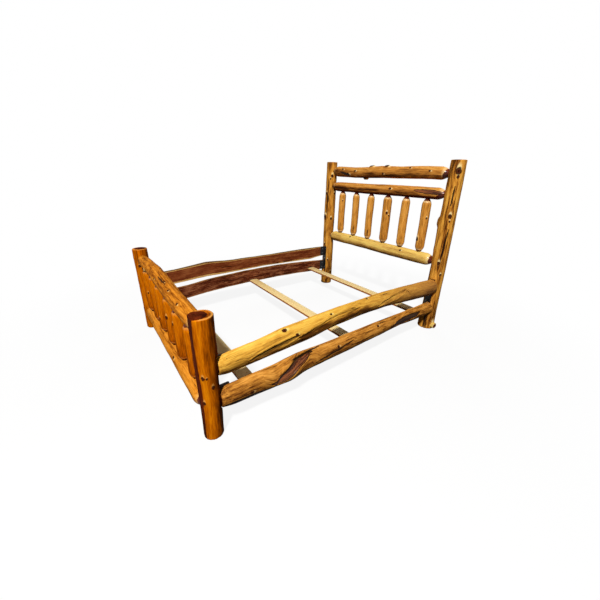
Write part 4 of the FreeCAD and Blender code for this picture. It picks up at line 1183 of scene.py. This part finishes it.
# %% Slats
SLAT_ARRIS = 2.0
slat_places = ("foot", "middle", "head")
for place_name in slat_places:
    low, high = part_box(f"slat_{place_name}")
    bm = bmesh.new()
    bmesh.ops.create_cube(bm, size=1.0)
    bmesh.ops.transform(bm, matrix=Matrix.Diagonal((*(high - low), 1)), verts=bm.verts)
    bmesh.ops.translate(bm, vec=(low + high) / 2, verts=bm.verts)
    for face in bm.faces:
        face.material_index = 1 if abs(face.normal.y) > 0.5 else 0
    bmesh.ops.bevel(
        bm, geom=bm.edges, offset=SLAT_ARRIS * MM, affect="EDGES", segments=3, profile=0.5, material=-1)
    board = to_object(bm, f"slat_{place_name}_board", bare_pine)
    board.data.materials.append(pine_edge)
    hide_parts(f"slat_{place_name}")
print("slats:", len(slat_places))

# %% [markdown]
# The brackets are cut from 5 mm steel plate, welded and powder coated black, which gives a
# satin skin with a fine orange peel. The screws are zinc plated steel, a little dulled by handling.

# %% Black powder coat and zinc plate
COAT_PATCH, COAT_RELIEF = 30.0, 0.3


def coated_steel(name, colour, worn, metallic, roughness, grain_mm, specular=0.5):
    """Steel under a thin coat, with a fine grain in its surface."""
    material, tree, output = new_material(name)
    place = add_node(tree, "TexCoord").outputs["Object"]
    grain = add_node(tree, "TexNoise", {"Vector": place, "Scale": 1 / (grain_mm * MM), "Detail": 3.0})
    patch = add_node(tree, "TexNoise", {"Vector": place, "Scale": 1 / (COAT_PATCH * MM), "Detail": 2.0})
    shade = add_node(tree, "Mix", {0: patch, 1: linear(colour), 2: linear(worn)}, data_type="RGBA")
    bump = add_node(tree, "Bump", {"Strength": 0.2, "Distance": COAT_RELIEF * MM, "Height": grain})
    shader = add_node(tree, "BsdfPrincipled", {
        "Base Color": shade, "Metallic": metallic, "Roughness": roughness,
        "Specular IOR Level": specular, "Normal": bump})
    tree.links.new(shader.outputs[0], output.inputs["Surface"])
    return material


powder_coat = coated_steel("steel plate, black powder coat", "0C0C0C", "161615", 0.0, 0.5, 1.6, specular=0.25)
zinc_plate = coated_steel("screw steel, zinc plated", "808080", "666666", 1.0, 0.42, 0.8)
print("steels:", powder_coat.name, "and", zinc_plate.name)

# %% [markdown]
# The CAD model has the true shape of the brackets and the slat angles, but its edges are sharp.
# Cut plate has its edges broken before it is coated, so a copy of each gets a small bevel. Each
# bracket also gets the two weld beads that hold its tabs to its flange, with the ripples that a
# welder's hand leaves. The beads are spun, like the logs, because a bead is a round thing too.

# %% Brackets and slat angles
EDGE_BREAK = 0.7
FLAT_WITHIN, SHARP_FROM = math.radians(1), math.radians(40)
PLATE, TAB_HEIGHT, OUTBOARD = 5.0, 115.0, 22.0
BEAD_RADIUS, BEAD_MARGIN, BEAD_STEPS = 2.8, 4.0, 10
RIPPLE, RIPPLE_SHARE = 3.5, 0.8


def spun(bm, profile, steps):
    """Turn a profile of (radius, height) pairs round the Z axis, and give back the new points."""
    before = set(bm.verts)
    points = [bm.verts.new((radius * MM, 0, height * MM)) for radius, height in profile]
    edges = [bm.edges.new(pair) for pair in zip(points, points[1:])]
    bmesh.ops.spin(
        bm, geom=points + edges, cent=(0, 0, 0), axis=(0, 0, 1), angle=math.tau, steps=steps, use_merge=True)
    bmesh.ops.remove_doubles(bm, verts=[vert for vert in bm.verts if vert not in before], dist=MERGE)
    return [vert for vert in bm.verts if vert not in before]


steel_nodes = [
    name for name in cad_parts
    if name.startswith(("bracket_", "slat_angle_")) and not name.endswith("screws")
]
bead_length = TAB_HEIGHT - BEAD_MARGIN * 2
half_ripples = round(bead_length / RIPPLE) * 2
bead_profile = [(0, 0)]
for number in range(half_ripples + 1):
    radius = BEAD_RADIUS * (1.0 if number % 2 else RIPPLE_SHARE)
    bead_profile.append((radius, bead_length * number / half_ripples))
bead_profile.append((0, bead_length))
for name in steel_nodes:
    bm = bmesh.new()
    bm.from_mesh(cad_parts[name].data)
    bmesh.ops.remove_doubles(bm, verts=bm.verts, dist=MERGE)
    bmesh.ops.dissolve_limit(bm, angle_limit=FLAT_WITHIN, verts=bm.verts, edges=bm.edges)
    sharp = [edge for edge in bm.edges if edge.calc_face_angle(0.0) > SHARP_FROM]
    bmesh.ops.bevel(
        bm, geom=sharp, offset=EDGE_BREAK * MM, affect="EDGES", segments=2, profile=0.5, material=-1)
    if name.startswith("bracket_"):
        low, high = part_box(name)
        inward = 1 if name.endswith("left") else -1
        bead_x = (low.x if inward > 0 else high.x) + (OUTBOARD + PLATE) * MM * inward
        bead_y = high.y - PLATE * MM if "head" in name else low.y + PLATE * MM
        for bead_z in (low.z + BEAD_MARGIN * MM, high.z - (TAB_HEIGHT - BEAD_MARGIN) * MM):
            bead = spun(bm, bead_profile, BEAD_STEPS)
            bmesh.ops.translate(bm, vec=(bead_x, bead_y, bead_z), verts=bead)
    bmesh.ops.recalc_face_normals(bm, faces=bm.faces)
    piece = to_object(bm, f"{name}_plate", powder_coat)
    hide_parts(name)
print("steel pieces:", len(steel_nodes), "open edges:", sum(
    1 for piece in finished[-len(steel_nodes):] for edge in piece.data.edges if edge.is_loose))

# %% [markdown]
# The screws are hexagon headed, with a washer rolled onto the head, on a plain shank that ends
# in a point. One of each size is made, and copies of it go where the CAD model has its screws:
# each loose part of a CAD group is a screw, its longest side is the screw's axis, and its head is
# at the wider end. No two were driven to the same turn, so each copy is turned by chance.

# %% Screws
# head radius, head height, shank radius and length
screw_sizes = {
    "bracket_lag_screws": (7.5, 5.5, 4.0, 55.0),
    "rail_screws": (5.5, 3.0, 2.5, 32.0),
    "slat_screws": (5.5, 3.0, 2.5, 15.0),
}
HEAD_EDGE, POINT_SHARE, SHANK_STEPS = 0.5, 2, 20
WASHER_SHARE, WASHER_TOP_SHARE, WASHER_THICK = 1.2, 0.9, 1.2


def make_screw(head_radius, head_height, shank_radius, length):
    """One screw's mesh, with the underside of its head at the origin and its point below."""
    bm = bmesh.new()
    radius = head_radius * MM
    head = bmesh.ops.create_cone(
        bm, cap_ends=True, segments=6, radius1=radius, radius2=radius, depth=head_height * MM)
    bmesh.ops.translate(bm, vec=(0, 0, head_height / 2 * MM), verts=head["verts"])
    bmesh.ops.bevel(
        bm, geom=bm.edges[:], offset=HEAD_EDGE * MM, affect="EDGES", segments=2, profile=0.5, material=-1)
    washer_radius = head_radius * WASHER_SHARE
    profile = [
        (0, -length), (shank_radius, shank_radius * POINT_SHARE - length), (shank_radius, 0),
        (washer_radius, 0), (washer_radius, WASHER_THICK / 2),
        (head_radius * WASHER_TOP_SHARE, WASHER_THICK), (0, WASHER_THICK),
    ]
    spun(bm, profile, SHANK_STEPS)
    bmesh.ops.recalc_face_normals(bm, faces=bm.faces)
    mesh = bpy.data.meshes.new("one screw")
    bm.to_mesh(mesh)
    bm.free()
    return mesh


def loose_parts(node):
    """The corners of each separate solid in a CAD node."""
    bm = bmesh.new()
    bm.from_mesh(node.data)
    bmesh.ops.remove_doubles(bm, verts=bm.verts, dist=MERGE)
    waiting = set(bm.verts)
    parts = []
    while waiting:
        reached = [waiting.pop()]
        for vert in reached:
            for edge in vert.link_edges:
                other = edge.other_vert(vert)
                if other in waiting:
                    waiting.remove(other)
                    reached.append(other)
        parts.append(np.array([tuple(vert.co) for vert in reached]))
    bm.free()
    return parts


turns = random.Random("screws")
for name, sizes in screw_sizes.items():
    one = make_screw(*sizes)
    bm = bmesh.new()
    for corners in sorted(loose_parts(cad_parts[name]), key=lambda part: tuple(part.min(axis=0))):
        low, high = corners.min(axis=0), corners.max(axis=0)
        axis = int(np.argmax(high - low))
        middle = (low + high) / 2
        from_axis = np.linalg.norm(np.delete(corners - middle, axis, axis=1), axis=1)
        head_end = corners[np.argmax(from_axis), axis] - middle[axis]
        direction = Vector([math.copysign(1.0, head_end) if number == axis else 0.0 for number in range(3)])
        underside = Vector(middle) + direction * ((high - low)[axis] / 2 - sizes[1] * MM)
        stand = aimed(underside, direction, "Z")
        count = len(bm.verts)
        bm.from_mesh(one)
        bm.verts.ensure_lookup_table()
        turned = stand @ Matrix.Rotation(turns.uniform(0, math.tau), 4, "Z")
        bmesh.ops.transform(bm, matrix=turned, verts=bm.verts[count:])
    bpy.data.meshes.remove(one)
    piece = to_object(bm, f"{name}_set", zinc_plate)
    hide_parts(name)
    print(name, "faces:", len(piece.data.polygons))

# %% [markdown]
# The bed stands on a plain pale floor that runs into a white backdrop. To the camera, and in
# reflections, the floor is nearly white and only the bed's soft shadow darkens it. It fades to
# pure white away from the bed, so that no horizon shows. That white must not light the logs
# from below, because in the photograph their undersides are dark. So other rays, which
# carry the light that bounces about, meet a grey floor.

# %% Floor and world
FLOOR_SIZE = 30.0
FLOOR_WHITE_SHARE = 0.88
FADE_FROM, FADE_TO = 1.2, 3.2
AMBIENT = 0.07


def seen_or_mirrored(tree):
    """1 for rays that the camera sees the thing by, straight, in a gloss or through glass, else 0."""
    rays = add_node(tree, "LightPath")
    seen = add_node(tree, "Math", {
        0: rays.outputs["Is Camera Ray"], 1: rays.outputs["Is Glossy Ray"]}, operation="MAXIMUM")
    return add_node(tree, "Math", {0: seen, 1: rays.outputs["Is Transmission Ray"]}, operation="MAXIMUM")


floor_bm = bmesh.new()
bmesh.ops.create_grid(floor_bm, x_segments=1, y_segments=1, size=FLOOR_SIZE / 2)
floor_mesh = bpy.data.meshes.new("floor")
floor_bm.to_mesh(floor_mesh)
floor_bm.free()
floor = bpy.data.objects.new("floor", floor_mesh)
bpy.context.scene.collection.objects.link(floor)

floor_material, tree, output = new_material("pale painted floor")
seen = seen_or_mirrored(tree)
distance = add_node(tree, "VectorMath", {
    0: add_node(tree, "TexCoord").outputs["Object"]}, operation="LENGTH")
whiteness = add_node(tree, "MapRange", {
    "Value": distance, "From Min": FADE_FROM, "From Max": FADE_TO, "To Min": FLOOR_WHITE_SHARE,
    "To Max": 1.0}, interpolation_type="SMOOTHSTEP")
share = add_node(tree, "Math", {0: seen, 1: whiteness}, operation="MULTIPLY")
paint = add_node(tree, "Mix", {0: seen, 1: linear("3A3836"), 2: linear("F6F6F4")}, data_type="RGBA")
matt = add_node(tree, "BsdfDiffuse", {"Color": paint})
white = add_node(tree, "Emission", {"Color": (1, 1, 1, 1), "Strength": 1.0})
mixed = add_node(tree, "MixShader", {0: share, 1: matt, 2: white})
tree.links.new(mixed.outputs[0], output.inputs["Surface"])
floor_mesh.materials.append(floor_material)

world = bpy.data.worlds.new("white studio")
bpy.context.scene.world = world
world.use_nodes = True
tree = world.node_tree
tree.nodes.clear()
strength = add_node(tree, "MapRange", {"Value": seen_or_mirrored(tree), "To Min": AMBIENT, "To Max": 1.0})
sky = add_node(tree, "Background", {"Color": (1, 1, 1, 1), "Strength": strength})
add_node(tree, "OutputWorld", {"Surface": sky})
print("floor and world are set")

# %% [markdown]
# In the photograph the sun stands high behind the camera, a little to its left: it throws the near
# rail's shadow on the slats' ends. A large soft lamp does that here, and a weak one fills from the
# far side. Their level is plain: a colour renders about as it is written.

# %% Lights
def area_lamp(name, place, aim, size, watts):
    """A square soft lamp at a place, turned to what it lights."""
    lamp = bpy.data.lights.new(name, "AREA")
    lamp.size = size
    lamp.energy = watts
    thing = bpy.data.objects.new(name, lamp)
    thing.matrix_world = aimed(place, aim - Vector(place), "-Z")
    bpy.context.scene.collection.objects.link(thing)


KEY_FROM = Vector((0.65, -0.70, 1.0)).normalized()
KEY_DISTANCE = 9.0
BED_MIDDLE = Vector((0.0, 0.0, 0.5))
area_lamp("key lamp", BED_MIDDLE + KEY_FROM * KEY_DISTANCE, BED_MIDDLE, size=0.65, watts=900)
area_lamp("back lamp", (-3.5, 3.5, 3.2), BED_MIDDLE, size=2.4, watts=65)
print("lamps:", len(bpy.data.lights))

# %% [markdown]
# The camera's place and lens were fitted to the corners of the posts in the photograph. It
# stands off the near side, close to the bed and a little above the eyes of someone seated, and
# its wide lens makes the near foot post look large.

# %% Camera
CAMERA_PLACE = Vector((2.0418, -1.4687, 1.3897))
YAW, PITCH, ROLL = math.radians(-51.448), math.radians(21.602), math.radians(1.76)
IMAGE_SIZE = 600.0
FOCAL_PIXELS = 287.77
OPTICAL_CENTRE = (308.29, 288.59)
SENSOR = 36.0

forward = Vector((math.sin(YAW) * math.cos(PITCH), math.cos(YAW) * math.cos(PITCH), -math.sin(PITCH)))
level_right = Vector((math.cos(YAW), -math.sin(YAW), 0))
level_up = level_right.cross(forward)
right = level_right * math.cos(ROLL) + level_up * math.sin(ROLL)
up = level_up * math.cos(ROLL) - level_right * math.sin(ROLL)
lens = bpy.data.cameras.new("camera")
lens.sensor_width = SENSOR
lens.lens = FOCAL_PIXELS / IMAGE_SIZE * SENSOR
lens.shift_x = (IMAGE_SIZE / 2 - OPTICAL_CENTRE[0]) / IMAGE_SIZE
lens.shift_y = (OPTICAL_CENTRE[1] - IMAGE_SIZE / 2) / IMAGE_SIZE
lens.clip_start = 0.05
camera = bpy.data.objects.new("camera", lens)
camera.matrix_world = Matrix.Translation(CAMERA_PLACE) @ Matrix([right, up, -forward]).transposed().to_4x4()
bpy.context.scene.collection.objects.link(camera)
bpy.context.scene.camera = camera
bpy.context.scene.view_settings.view_transform = "Standard"
print("lens:", round(lens.lens, 2), "mm")

# %% Count the triangles
print("triangles:", sum(len(polygon.vertices) - 2 for piece in finished for polygon in piece.data.polygons))
